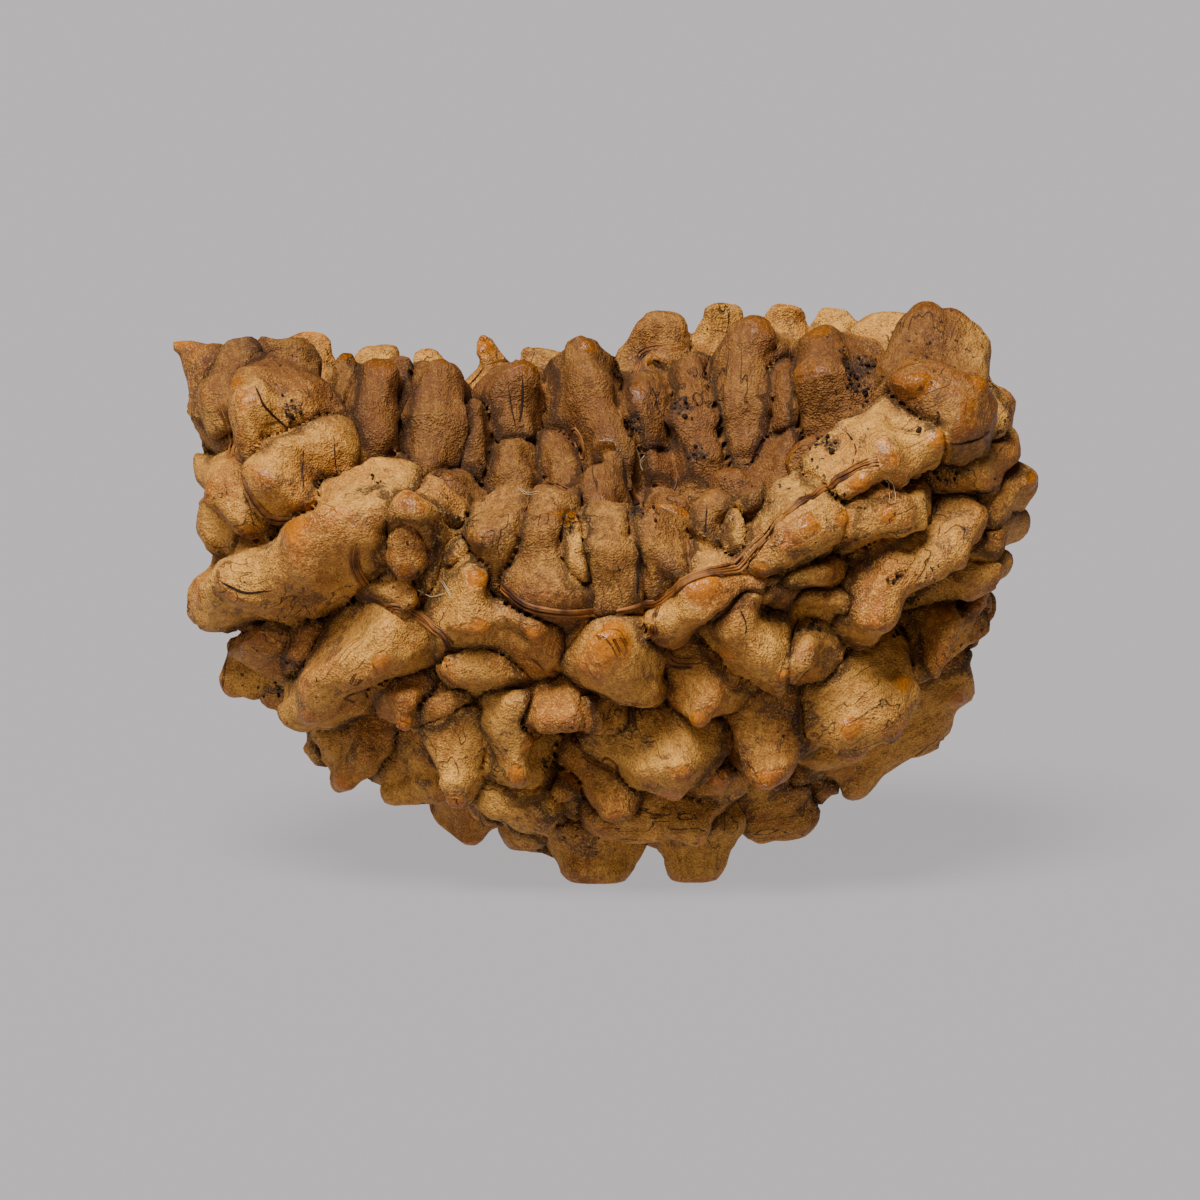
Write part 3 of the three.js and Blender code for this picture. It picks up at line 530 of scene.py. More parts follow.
# %% [markdown]
# On the real stone the knobs press against each other like kneaded clay: soft shoulders, a
# narrow seam where two meet, and no gap. Joining meshes leaves hard cuts. A distance field
# doesn't: each knob's distance is laid on a fine grid, the nearest is kept, feet melt into the
# core, and a groove is added where the two nearest knobs are equally near.

# %% A lobe's distance
HOLLOW_FLANK = 1.35  # above 1, the flanks are hollow, as a mountain's are
ARCH = 0.4  # how far a crest's ends lie under its middle, as a share of its half length
CAP = 0.6  # of the crest's radius, how far its rounded end stands over the crest
FINE_TIP = 0.78  # the faceted solid's crests are broader than the real ones, by this much
FINE_FOOT = 0.98
SPUR = 0.13  # how far spurs stand out and gullies cut in, as a share of the foot's radius
FAR = 9.0  # a distance that counts as out of reach


def lobe_place(points, lobe):
    """A point's place in the lobe's frame: along the crest, to the side, and up the axis."""
    offset = points - lobe["foot"]
    return offset @ lobe["length"], offset @ lobe["side"], offset @ lobe["axis"]


def lobe_distance(points, lobe):
    """The distance to the nearest point of the arched crest, moved down the axis to the point's
    own level, less the radius there. The radius goes from the crest's to the foot's with a
    power of the depth under the crest, and a wave round the axis gives it spurs."""
    along, side, up = lobe_place(points, lobe)
    tip = FINE_TIP * lobe["tip_radius"]
    foot = FINE_FOOT * lobe["foot_radius"]
    part = np.clip(along / (lobe["half"] + tip), -1, 1)
    height = lobe["height"] + CAP * lobe["tip_radius"] - tip - ARCH * lobe["half"] * part**2
    narrow = 1 - lobe["taper"] * part
    level = np.clip(up / height, 0, 1)
    under = 1 - level
    turn = np.arctan2(side, along)
    wave = np.sin(lobe["spurs"] * turn + lobe["phase"]) + 0.6 * np.sin(2 * turn - 2 * lobe["phase"])
    radius = tip + (foot - tip) * under**HOLLOW_FLANK + SPUR * foot * wave * under * level**0.5
    radius = radius * narrow
    stretch = lobe["half"] * (FOOT_LENGTH + (1 - FOOT_LENGTH) * level)
    past_end = np.maximum(np.abs(along) - stretch, 0)
    past_top = up - level * height
    return np.sqrt(past_end**2 + side**2 + past_top**2) - radius


# %% [markdown]
# Some knobs of the real stone melt into long arms. An arm is a bent rod over the core, and the
# crest of a ridge with sloping sides. It takes the place of the knobs whose crests it covers.
# Each bend is a place in the picture with its rise over the core and the rod's radius there.

# %% Arms: x, height in the picture, rise, radius of each bend
ARMS = [
    # the left horn, the knobs of the upper left, and the big arm under them
    [
        [-12.0, 16.0, 0.5, 1.0], [-13.0, 16.5, 0.5, 0.75], [-13.7, 16.8, 0.5, 0.45],
        [-14.35, 17.0, 0.5, 0.16],
    ],
    [
        [-11.1, 16.9, 0.8, 0.6], [-10.3, 17.2, 0.9, 0.6], [-9.8, 16.8, 0.9, 0.55],
        [-9.7, 15.9, 0.8, 0.5],
    ],
    [[-11.0, 14.0, 0.9, 0.85], [-11.2, 15.0, 1.1, 0.9], [-11.5, 15.9, 1.0, 0.6]],
    [
        [-10.9, 13.2, 0.9, 0.6], [-9.9, 13.8, 1.2, 0.55], [-9.0, 14.3, 1.2, 0.5],
        [-8.2, 13.4, 1.0, 0.5], [-7.5, 12.6, 0.8, 0.45],
    ],
    [
        [-13.0, 13.5, 0.7, 0.6], [-12.4, 12.8, 1.0, 0.8], [-11.7, 12.0, 1.1, 0.8],
        [-11.2, 11.5, 0.9, 0.55],
    ],
    [
        [-12.9, 9.2, 0.7, 0.9], [-11.2, 9.7, 1.2, 1.25], [-9.6, 10.5, 1.5, 1.15],
        [-8.2, 11.4, 1.6, 0.8], [-7.1, 12.3, 1.5, 0.5],
    ],
    [[-6.1, 10.6, 0.9, 0.85], [-5.9, 11.7, 1.2, 0.7]],
    [[-6.9, 7.8, 1.1, 1.0], [-7.6, 7.0, 1.3, 0.7], [-8.9, 6.0, 1.3, 0.75], [-9.8, 5.2, 1.3, 0.65]],
    [[-11.4, 6.8, 0.6, 1.0], [-11.9, 6.0, 0.7, 0.6]],
    # the front wall's blocks, and the glossy ball under them
    [
        [-3.5, 9.9, 0.3, 0.7], [-3.4, 11.0, 0.9, 0.65], [-3.0, 11.2, 0.9, 0.65],
        [-3.0, 9.7, 0.3, 0.7],
    ],
    [
        [-1.9, 9.3, 0.4, 0.85], [-1.8, 11.0, 1.1, 0.8], [-1.0, 11.3, 1.1, 0.75],
        [-1.0, 9.3, 0.4, 0.85],
    ],
    [[0.05, 9.2, 0.4, 0.8], [0.05, 10.6, 0.9, 0.65], [0.7, 10.4, 0.9, 0.6], [0.7, 9.2, 0.4, 0.8]],
    [
        [1.7, 9.3, 0.4, 0.8], [1.9, 10.6, 1.0, 0.5], [2.6, 10.2, 0.9, 0.6], [2.7, 9.5, 0.4, 0.85],
        [3.6, 9.9, 0.5, 0.55], [4.4, 10.2, 0.5, 0.3],
    ],
    [[3.8, 10.8, 0.2, 0.75], [3.75, 12.2, 1.0, 0.7]],
    [[5.1, 11.0, 0.2, 0.75], [4.95, 12.2, 0.9, 0.65], [5.9, 11.7, 0.6, 0.4]],
    [[0.4, 7.35, 1.25, 1.1], [0.6, 7.0, 1.2, 0.95], [1.5, 6.0, 0.8, 0.5]],
    [[2.0, 8.3, 1.1, 0.7], [3.0, 9.1, 1.5, 0.75], [4.0, 9.7, 1.4, 0.7], [5.2, 9.8, 1.1, 0.6]],
    [[4.9, 9.2, 1.1, 0.7], [4.6, 8.1, 1.3, 0.8], [5.0, 7.2, 1.4, 0.7], [5.8, 6.6, 1.3, 0.55]],
    # the back wall's fingers
    [[-7.2, 16.1, 0.8, 0.8], [-7.1, 14.2, 0.6, 0.7]],
    [[-5.25, 16.2, 0.8, 0.8], [-5.2, 14.8, 0.8, 1.05], [-5.5, 13.4, 0.5, 0.65]],
    [[-2.85, 15.9, 0.7, 1.1], [-2.8, 14.9, 0.5, 0.8]],
    [
        [-0.35, 17.3, 1.2, 0.5], [-0.1, 15.8, 1.0, 0.85], [0.35, 14.0, 0.9, 0.8],
        [0.7, 12.8, 0.7, 0.55],
    ],
    [[0.0, 12.2, 1.8, 0.7], [0.05, 12.9, 2.1, 0.6], [0.3, 13.7, 2.1, 0.42]],
    [[1.75, 16.7, 0.9, 0.4], [1.7, 15.4, 0.6, 0.9], [1.7, 14.2, 0.3, 0.6]],
    [[3.0, 16.9, 1.0, 0.4], [3.35, 15.4, 0.7, 0.75], [3.7, 13.9, 0.5, 0.5]],
    [[4.8, 17.4, 1.1, 0.95], [4.75, 15.9, 0.8, 0.95], [4.7, 14.2, 0.4, 0.5]],
    [[7.35, 17.1, 1.0, 0.95], [7.3, 16.0, 0.8, 1.0], [7.0, 14.9, 0.4, 0.55]],
    [[10.4, 17.3, 1.0, 1.1], [10.0, 16.0, 0.6, 0.95], [9.4, 15.1, 0.3, 0.6]],
    # the right side's ridges
    [[6.9, 13.7, 1.2, 0.8], [8.5, 14.5, 1.1, 0.5], [9.6, 15.2, 1.2, 0.65], [10.6, 15.8, 1.3, 0.9]],
    [
        [8.3, 12.6, 1.5, 0.55], [9.6, 13.3, 1.5, 0.75], [11.0, 14.2, 1.3, 0.6],
        [13.0, 14.8, 1.0, 0.55],
    ],
    [[5.1, 10.4, 1.3, 0.5], [6.6, 11.3, 1.3, 0.65], [7.6, 11.5, 1.4, 0.8]],
    [[8.6, 11.5, 1.4, 0.8], [9.6, 11.9, 1.4, 0.75], [10.4, 12.1, 1.3, 0.6]],
    [[9.0, 8.6, 1.3, 0.9], [9.9, 9.9, 1.3, 0.7], [11.3, 10.8, 1.3, 0.8], [12.0, 11.6, 1.2, 0.75]],
    [[7.9, 4.9, 1.5, 0.9], [9.0, 5.6, 1.6, 1.2], [9.9, 6.2, 1.5, 0.8]],
    [[12.3, 13.4, 1.2, 0.8], [13.5, 13.8, 0.9, 0.65]],
    [[12.6, 12.2, 0.9, 0.8], [14.0, 12.6, 0.9, 0.75]],
    [[12.6, 11.2, 0.9, 0.75], [13.9, 11.6, 0.9, 0.7]],
    [[12.1, 9.9, 0.9, 0.8], [13.0, 10.3, 0.9, 0.65]],
    [[12.0, 8.0, 0.9, 0.8], [12.7, 8.9, 0.8, 0.65]],
    [[8.6, 3.3, 0.8, 0.9], [10.9, 4.7, 1.1, 0.9], [11.8, 6.0, 1.1, 0.85], [11.7, 7.0, 0.8, 0.8]],
    [[5.2, 1.6, 0.6, 0.8], [6.5, 1.9, 0.6, 0.75]],
    # the lowest ridges, which join the knobs that it rests on
    [[-3.4, 2.6, 0.6, 0.8], [-2.0, 1.9, 0.6, 0.85]],
    [[0.3, 1.8, 0.6, 0.9], [1.6, 1.8, 0.6, 0.9], [3.0, 1.8, 0.6, 0.9]],
]
DEPTH_JUMP = 1.5  # a bend this much farther off than the last one would lie on the far wall
SKIRT = 0.58  # how much a ridge widens to each side for each millimetre under its crest
SKIRT_DEPTH = 1.3  # and how far down this goes on
ARM_BLEND = 0.4
CREST_SHARE = 0.92  # the crests, as a share of the radii in the list
SWALLOW_MARGIN = 0.05  # a crest this close to an arm still counts as inside it


def arm_bends(arm):
    """The bends in space. Where the sight line passes over the rim and meets the far wall, the
    bend keeps the depth of the one before it."""
    bends = []
    depth = depth_of_core(*arm[0][:2])
    for x, height, rise, _ in arm:
        own_depth = depth_of_core(x, height)
        if own_depth < depth + DEPTH_JUMP:
            depth = own_depth
        bends.append(crest_point(x, height, rise, depth))
    return np.array(bends)


arms = []
for number, arm in enumerate(ARMS):
    bends = arm_bends(arm)
    normals = [core_normal(middle) for middle in (bends[1:] + bends[:-1]) / 2]
    radii = np.array(arm)[:, 3] * CREST_SHARE
    arms.append({"bends": bends, "normals": normals, "radii": radii, "knob": knobs + number})


def arm_distance(points, arm):
    """The smallest, over the rod's straight stretches, of the distance to the nearest point of
    the stretch less the radius there, which changes evenly from bend to bend. Under the rod,
    towards the core, a first stretch of the way is free and the radius grows along it, so that
    the rod is the crest of a ridge with sloping sides."""
    total = np.full(points.shape[:-1], FAR)
    for k in range(len(arm["radii"]) - 1):
        start, end = arm["bends"][k], arm["bends"][k + 1]
        run = end - start
        part = np.clip(((points - start) @ run) / max(run @ run, 1e-6), 0, 1)
        near = start + part[..., None] * run
        radius = arm["radii"][k] + part * (arm["radii"][k + 1] - arm["radii"][k])
        offset = points - near
        under = np.maximum(-(offset @ arm["normals"][k]), 0)
        skirt = np.minimum(under, SKIRT_DEPTH)
        away = (offset**2).sum(axis=-1) - under**2 + (under - skirt) ** 2
        away = np.sqrt(np.maximum(away, 1e-9)) - radius - SKIRT * skirt
        total = smooth_min(total, away, ARM_BLEND)
    return total


def smooth_min(a, b, radius):
    """The smaller of two distances, rounded as smooth_max is."""
    return -smooth_max(-a, -b, radius)


def swallowed(lobe):
    """Whether the middle of the lobe's crest lies inside an arm, which then takes its place."""
    top = lobe["foot"] + lobe["axis"] * lobe["height"]
    return any(arm_distance(top, arm) < SWALLOW_MARGIN for arm in arms)


groups = {}
for lobe in lobes:
    if not swallowed(lobe):
        groups.setdefault(lobe["knob"], []).append(lobe)
print("arms:", len(arms), "knobs that they don't swallow:", len(groups))

# %% The field on a grid
GRID_STEP = 0.115
GRID_LOW = np.array([-14.8, -9.6, -0.3])
GRID_HIGH = np.array([15.0, 10.0, 19.7])
REACH = 1.0  # how far past its own surface a knob's distance is worked out
SAME_KNOB_BLEND = 0.7
FOOT_BLEND = 0.9
KNOB_BLEND = 0.6
SEAM_DEPTH = 0.36
SEAM_WIDTH = 0.09
VALLEY_DEPTH = 0.6  # how far under the faceted solid's bare surface the valleys lie

grid_axes = [np.arange(low, high, GRID_STEP) for low, high in zip(GRID_LOW, GRID_HIGH)]
grid_shape = tuple(len(axis) for axis in grid_axes)


def grid_points(box):
    """The grid's points inside a box of index slices, as one array."""
    mesh = np.meshgrid(*[axis[part] for axis, part in zip(grid_axes, box)], indexing="ij")
    return np.stack(mesh, axis=-1)


def box_round(group):
    """The index slices of the part of the grid that a knob's lobes can reach."""
    low = np.full(3, np.inf)
    high = -low
    for lobe in group:
        reach = max(lobe["foot_radius"], lobe["tip_radius"]) + lobe["half"] + REACH
        ends = np.array([lobe["foot"], lobe["foot"] + lobe["axis"] * lobe["height"]])
        low = np.minimum(low, ends.min(axis=0) - reach)
        high = np.maximum(high, ends.max(axis=0) + reach)
    first = np.maximum(np.floor((low - GRID_LOW) / GRID_STEP).astype(int), 0)
    last = np.minimum(np.ceil((high - GRID_LOW) / GRID_STEP).astype(int), grid_shape)
    return tuple(slice(a, b) for a, b in zip(first, last))


def knob_distance(points, group):
    """The smooth smallest distance over the lobes of one knob."""
    total = lobe_distance(points, group[0])
    for lobe in group[1:]:
        total = smooth_min(total, lobe_distance(points, lobe), SAME_KNOB_BLEND)
    return total


def arm_box(arm):
    """The index slices of the part of the grid that an arm can reach."""
    reach = arm["radii"].max() + SKIRT_DEPTH + REACH
    first = np.floor((arm["bends"].min(axis=0) - reach - GRID_LOW) / GRID_STEP).astype(int)
    last = np.ceil((arm["bends"].max(axis=0) + reach - GRID_LOW) / GRID_STEP).astype(int)
    return tuple(slice(max(a, 0), b) for a, b in zip(first, np.minimum(last, grid_shape)))


nearest = np.full(grid_shape, FAR, dtype=np.float32)
second = np.full(grid_shape, FAR, dtype=np.float32)
shapes = [(box_round(group), knob_distance, group) for group in groups.values()]
shapes += [(arm_box(arm), arm_distance, arm) for arm in arms]
for box, distance_to, shape in shapes:
    distance = distance_to(grid_points(box), shape).astype(np.float32)
    second[box] = np.minimum(second[box], np.maximum(nearest[box], distance))
    nearest[box] = np.minimum(nearest[box], distance)

everything = (slice(None), slice(None), slice(None))
core = core_distance(grid_points(everything)).astype(np.float32)
height_of_grid = grid_axes[2][None, None, :].astype(np.float32)
seam = SEAM_DEPTH * np.exp(-((second - nearest) / SEAM_WIDTH) ** 2)
field = smooth_min(smooth_min(nearest, second, KNOB_BLEND), core + VALLEY_DEPTH, FOOT_BLEND) + seam
field = np.maximum(field, -height_of_grid)
print("grid:", grid_shape, "points inside:", int((field < 0).sum()))

# %% [markdown]
# A pocket of air that is closed in between knobs would be a hidden shell, so it is filled: the
# air is followed in from the outside, and what it doesn't reach counts as stone.

# %% Fill closed pockets
air = field > 0
reached = np.zeros_like(air)
for axis in range(3):
    for end in (0, -1):
        edge = [slice(None)] * 3
        edge[axis] = end
        reached[tuple(edge)] = air[tuple(edge)]
count = 0
while reached.sum() > count:
    count = reached.sum()
    for axis in range(3):
        for step in (1, -1):
            reached |= np.roll(reached, step, axis=axis) & air
pockets = air & ~reached
field[pockets] = -0.5 * GRID_STEP
print("grid points in closed pockets:", int(pockets.sum()))

# %% [markdown]
# The surface is where the field is zero. Each grid cell that the surface crosses gets one
# vertex, at the mean of the crossings on its edges, and each crossed edge gets the quad of the
# four cells round it. Everything is whole-array work.

# %% The surface out of the field


def surface_nets(values, low, step):
    """Vertices and quads of the zero surface. Negative values are inside, and a quad turns
    counter-clockwise as seen from outside."""
    cells = np.array(values.shape) - 1
    total = int(cells.prod())
    sums = np.zeros((total, 3))
    counts = np.zeros(total)
    crossed = []
    for axis in range(3):
        one, two = (axis + 1) % 3, (axis + 2) % 3
        here = np.take(values, range(values.shape[axis] - 1), axis=axis)
        there = np.take(values, range(1, values.shape[axis]), axis=axis)
        place = np.argwhere((here < 0) != (there < 0))
        inner = (place[:, one] > 0) & (place[:, one] < cells[one])
        inner &= (place[:, two] > 0) & (place[:, two] < cells[two])
        place = place[inner]
        a = here[tuple(place.T)]
        b = there[tuple(place.T)]
        point = place.astype(float)
        point[:, axis] += a / (a - b)
        around = []
        for shift_one, shift_two in ((-1, -1), (0, -1), (0, 0), (-1, 0)):
            cell = place.copy()
            cell[:, one] += shift_one
            cell[:, two] += shift_two
            index = np.ravel_multi_index(tuple(cell.T), tuple(cells))
            around.append(index)
            counts += np.bincount(index, minlength=total)
            for k in range(3):
                sums[:, k] += np.bincount(index, weights=point[:, k], minlength=total)
        quads = np.stack(around, axis=1)
        outwards = a < 0
        crossed.append(np.where(outwards[:, None], quads, quads[:, ::-1]))
    used = np.nonzero(counts)[0]
    vertices = low + step * sums[used] / counts[used][:, None]
    number = np.full(total, -1)
    number[used] = np.arange(len(used))
    return vertices, number[np.concatenate(crossed)]


vertices, quads = surface_nets(field, GRID_LOW, GRID_STEP)
print("vertices:", len(vertices), "quads:", len(quads))

# %% [markdown]
# Nothing on a grown thing is as even as a formula. Three noises move the surface: a broad one
# that bends whole knobs, one that leaves lumps, and a fine one that leaves dents.

# %% Uneven growth
LATTICE_SIZE = 32
LATTICE = np.random.default_rng(52).uniform(-1, 1, (LATTICE_SIZE,) * 3)
GROWTH = [(0.45, 2.6, 5.3, 0), (0.17, 1.2, 9.1, 3), (0.05, 0.5, 7.7, 6)]
STANDING_HEIGHT = 0.8  # mm over the floor where the moves reach their full size, so it stands


def lattice_noise(points, size, shift=0.0):
    """Random values at the corners of cubes of this size, blended smoothly in between."""
    scaled = points / size + shift
    corner = np.floor(scaled).astype(int)
    part = scaled - corner
    part = part * part * (3 - 2 * part)
    total = np.zeros(len(points))
    for dx in (0, 1):
        for dy in (0, 1):
            for dz in (0, 1):
                at = (corner + [dx, dy, dz]) % LATTICE_SIZE
                weight = np.abs(1 - dx - part[:, 0]) * np.abs(1 - dy - part[:, 1])
                weight *= np.abs(1 - dz - part[:, 2])
                total += weight * LATTICE[at[:, 0], at[:, 1], at[:, 2]]
    return total


def growth_warp(points):
    """The sum over the rows of GROWTH of height times a noise of that size in mm. The row's last
    two numbers keep the noises of the three directions apart."""
    moves = []
    for axis in range(3):
        parts = [tall * lattice_noise(points, size, apart * axis + shift)
                 for tall, size, apart, shift in GROWTH]
        moves.append(sum(parts))
    return np.stack(moves, axis=1)


grown_by = growth_warp(vertices) * np.clip(vertices[:, 2:3] / STANDING_HEIGHT, 0, 1)
vertices = vertices + grown_by
vertices[:, 2] = np.maximum(vertices[:, 2], 0)
print("moved along an axis in mm by up to", round(float(np.abs(grown_by).max()), 2))

# %% [markdown]
# The grid's mesh is finer than its flanks need. Decimate takes faces away where the surface is
# nearly flat and keeps them along crests and seams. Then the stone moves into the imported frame,
# and on each side its outermost knob is drawn out, or pressed in, to the solid's box.

# %% The stone's mesh
FACE_BUDGET = 190000
DRAWN_RADIUS = 3.0  # mm round the outermost point that move out with it
PRESSED_DEPTH = 1.2  # mm inside the box over which a side is pressed in


def mesh_object(name, vertices_mm, faces):
    """A mesh object from vertices in millimetres and faces of one size."""
    mesh = bpy.data.meshes.new(name)
    faces = np.asarray(faces, dtype=np.int32)
    sides = faces.shape[1]
    mesh.vertices.add(len(vertices_mm))
    mesh.vertices.foreach_set("co", (np.asarray(vertices_mm) * MM).astype(np.float32).ravel())
    mesh.loops.add(faces.size)
    mesh.loops.foreach_set("vertex_index", faces.ravel())
    mesh.polygons.add(len(faces))
    mesh.polygons.foreach_set("loop_start", np.arange(0, faces.size, sides, dtype=np.int32))
    mesh.update(calc_edges=True)
    mesh.validate()
    mesh.polygons.foreach_set("use_smooth", np.ones(len(mesh.polygons), dtype=bool))
    piece = bpy.data.objects.new(name, mesh)
    bpy.context.scene.collection.objects.link(piece)
    return piece


def mesh_points(mesh):
    """The mesh's vertices in millimetres."""
    flat = np.empty(len(mesh.vertices) * 3)
    mesh.vertices.foreach_get("co", flat)
    return flat.reshape(-1, 3) / MM


def set_points(mesh, points_mm):
    mesh.vertices.foreach_set("co", (points_mm * MM).astype(np.float32).ravel())
    mesh.update()


def fitted_to_box(points, low, high):
    """On each side: where the stone falls short, the points round its outermost one move out by
    the gap times (1 - (d / radius)^2)^2. Where it goes past, depths x over the last stretch
    become x / (1 + k x), with k so that the outermost lands on the box."""
    points = points.copy()
    moved = []
    for axis in range(3):
        for side, wall in ((-1, low[axis]), (1, high[axis])):
            out = points[:, axis] * side
            gap = wall * side - out.max()
            moved.append(round(float(gap), 2))
            if gap > 0:
                away = np.linalg.norm(points - points[out.argmax()], axis=1)
                out = out + gap * np.clip(1 - (away / DRAWN_RADIUS) ** 2, 0, None) ** 2
            else:
                past = np.maximum(out - (wall * side - PRESSED_DEPTH), 0)
                bend = 1 / PRESSED_DEPTH - 1 / past.max()
                out = np.minimum(out, wall * side - PRESSED_DEPTH) + past / (1 + bend * past)
            points[:, axis] = out * side
    return points, moved


stone = mesh_object("woody_stone", vertices, quads)
decimate = stone.modifiers.new("fewer faces", "DECIMATE")
decimate.ratio = FACE_BUDGET / (2 * len(quads))
evaluated = stone.evaluated_get(bpy.context.evaluated_depsgraph_get())
slim = bpy.data.meshes.new_from_object(evaluated)
stone.modifiers.clear()
stone.data = slim
grown = mesh_points(slim)

low = np.array(CAD_BOX[0]) / MM
high = np.array(CAD_BOX[1]) / MM
fitted, moved = fitted_to_box(grown - BOX_MIDDLE / MM, low, high)
set_points(slim, fitted)
print("faces:", len(slim.polygons), "outermost knobs moved in mm by", moved)

# %% [markdown]
# Some details are too small for the solid but catch the eye: rounded nubs at the knobs' tips,
# broken faces, and an insect's hole. Each is placed by where it shows in the picture. A ray
# along the line of sight finds its place on the stone, and the skin round it is pushed out or
# in. A nub's height is positive, a pit's is negative. Low wavy ridges and creases cover all.

# %% Nubs and pits: x, height in the picture, radius, height over the skin
NUBS = [
    [-9.9, 11.2, 0.9, 0.25], [-13.2, 9.2, 0.6, 0.2], [-9.6, 5.2, 0.6, 0.25], [-7.2, 6.9, 0.6, 0.2],
    [-6.35, 9.9, 0.55, 0.3], [-4.0, 9.7, 0.5, 0.25], [-3.9, 8.1, 0.5, 0.2], [-2.2, 7.9, 0.5, 0.2],
    [0.45, 7.6, 1.2, 0.2], [-2.45, 4.4, 0.55, 0.3], [-2.75, 3.3, 0.5, 0.25], [3.3, 9.5, 0.9, 0.25],
    [5.2, 10.0, 0.5, 0.2], [5.4, 3.0, 0.6, 0.2], [4.2, 7.3, 0.5, 0.2], [6.0, 6.5, 0.5, 0.2],
    [8.2, 4.8, 0.6, 0.2], [9.9, 6.3, 0.6, 0.2], [-4.7, 2.4, 0.5, 0.25], [-8.5, 3.0, 0.55, 0.2],
    [6.8, 11.4, 0.5, 0.2], [7.9, 11.6, 0.5, 0.2], [9.4, 11.8, 0.5, 0.2], [8.5, 12.8, 0.5, 0.2],
    [11.0, 14.2, 0.6, 0.2], [10.5, 16.0, 0.7, 0.2], [12.4, 16.1, 0.5, 0.2], [14.2, 12.9, 0.5, 0.2],
    [-0.4, 17.4, 0.5, 0.2], [-3.85, 17.4, 0.5, 0.2], [1.8, 17.0, 0.5, 0.2], [7.3, 17.9, 0.6, 0.1],
    [0.2, 14.0, 0.6, 0.25], [-8.4, 17.0, 0.5, 0.2], [-11.9, 16.0, 0.6, 0.2], [2.3, 2.6, 0.6, 0.2],
    [-1.1, 11.7, 0.6, 0.2], [-6.4, 4.9, 0.5, 0.2], [3.2, 5.1, 0.5, 0.2], [11.9, 5.7, 0.6, 0.2],
]
PITS = [
    [-7.5, 12.7, 0.55, -0.3], [-7.0, 12.5, 0.4, -0.25], [-0.9, 11.35, 0.28, -0.35],
    [7.2, 14.3, 0.6, -0.35], [7.6, 14.1, 0.45, -0.3], [9.75, 9.7, 0.28, -0.45],
    [-9.0, 17.0, 0.3, -0.3], [8.5, 16.8, 0.8, -0.3],
]


def loose_triangles(mesh):
    """The mesh's triangles as rows of three vertex numbers."""
    mesh.calc_loop_triangles()
    flat = np.empty(len(mesh.loop_triangles) * 3, dtype=np.int32)
    mesh.loop_triangles.foreach_get("vertices", flat)
    return flat.reshape(-1, 3)


def mesh_normals(mesh):
    flat = np.empty(len(mesh.vertices) * 3)
    mesh.vertices.foreach_get("normal", flat)
    return flat.reshape(-1, 3)


def skin_of(mesh):
    """A tree that finds the skin's point on a ray or near a place, in millimetres."""
    return BVHTree.FromPolygons(mesh_points(mesh).tolist(), loose_triangles(mesh).tolist())


def seen_point(skin, x, height):
    """Where the line of sight through this place of the picture meets the stone, and the
    skin's direction there."""
    start = np.array([x, 0, 0]) - BOX_MIDDLE / MM + SEEN_UP * height - LOOKING * 60
    place, normal = skin.ray_cast(Vector(start), Vector(LOOKING))[:2]
    return (np.array(place), np.array(normal)) if place else (None, None)


def pushed(points, normals, centre, radius, height):
    """Points within the radius moved by height (1 - (d / radius)^2)^2 along their normals, and
    that share of the height at each point."""
    away = np.linalg.norm(points - centre, axis=1)
    share = np.clip(1 - (away / radius) ** 2, 0, None) ** 2
    return points + normals * (height * share)[:, None], share


# %% Pushing the skin, and the soil's places: x, height in the picture, spread, how many crumbs
SOIL_SPOTS = [
    [0.5, 16.7, 0.22, 40], [1.1, 14.9, 0.25, 30], [2.75, 15.5, 0.3, 30], [3.2, 13.9, 0.3, 30],
    [1.2, 11.9, 0.25, 20], [8.6, 16.1, 0.35, 50], [8.9, 16.9, 0.4, 50], [-10.1, 15.2, 0.22, 30],
    [11.5, 13.2, 0.3, 30], [12.5, 12.5, 0.3, 20], [10.8, 14.7, 0.3, 20], [9.9, 8.0, 0.25, 25],
    [10.3, 9.0, 0.2, 20], [-10.0, 6.9, 0.25, 20], [-10.7, 6.1, 0.25, 15], [-7.3, 12.7, 0.25, 30],
    [7.3, 14.2, 0.3, 40], [-0.9, 11.4, 0.15, 12], [9.75, 9.7, 0.12, 12], [-3.9, 13.4, 0.2, 10],
    [5.4, 8.6, 0.25, 20], [-4.8, 7.2, 0.2, 15], [6.9, 8.1, 0.2, 15], [-1.8, 3.6, 0.2, 15],
]


WRINKLE_WIDTH = 0.3  # of the noise's own range
RIDGE_HEIGHT = 0.16
RIDGE_SIZE = 1.9
CREASE_DEPTH = 0.07
CREASE_SIZE = 0.9
SOIL_REACH = 2.2  # how far soil darkens the skin, in spreads of its crumbs


def wrinkles(points, size, shift):
    """Lines where a noise crosses zero, 1 on the line and 0 away from it."""
    away = np.abs(lattice_noise(points, size, shift)) / WRINKLE_WIDTH
    return np.clip(1 - away, 0, 1) ** 1.5


points = mesh_points(slim)
normals = mesh_normals(slim)
raised = RIDGE_HEIGHT * wrinkles(points, RIDGE_SIZE, 4.4)
raised -= CREASE_DEPTH * wrinkles(points, CREASE_SIZE, 8.1)
raised *= np.clip(points[:, 2] / STANDING_HEIGHT, 0, 1)
set_points(slim, points + normals * raised[:, None])

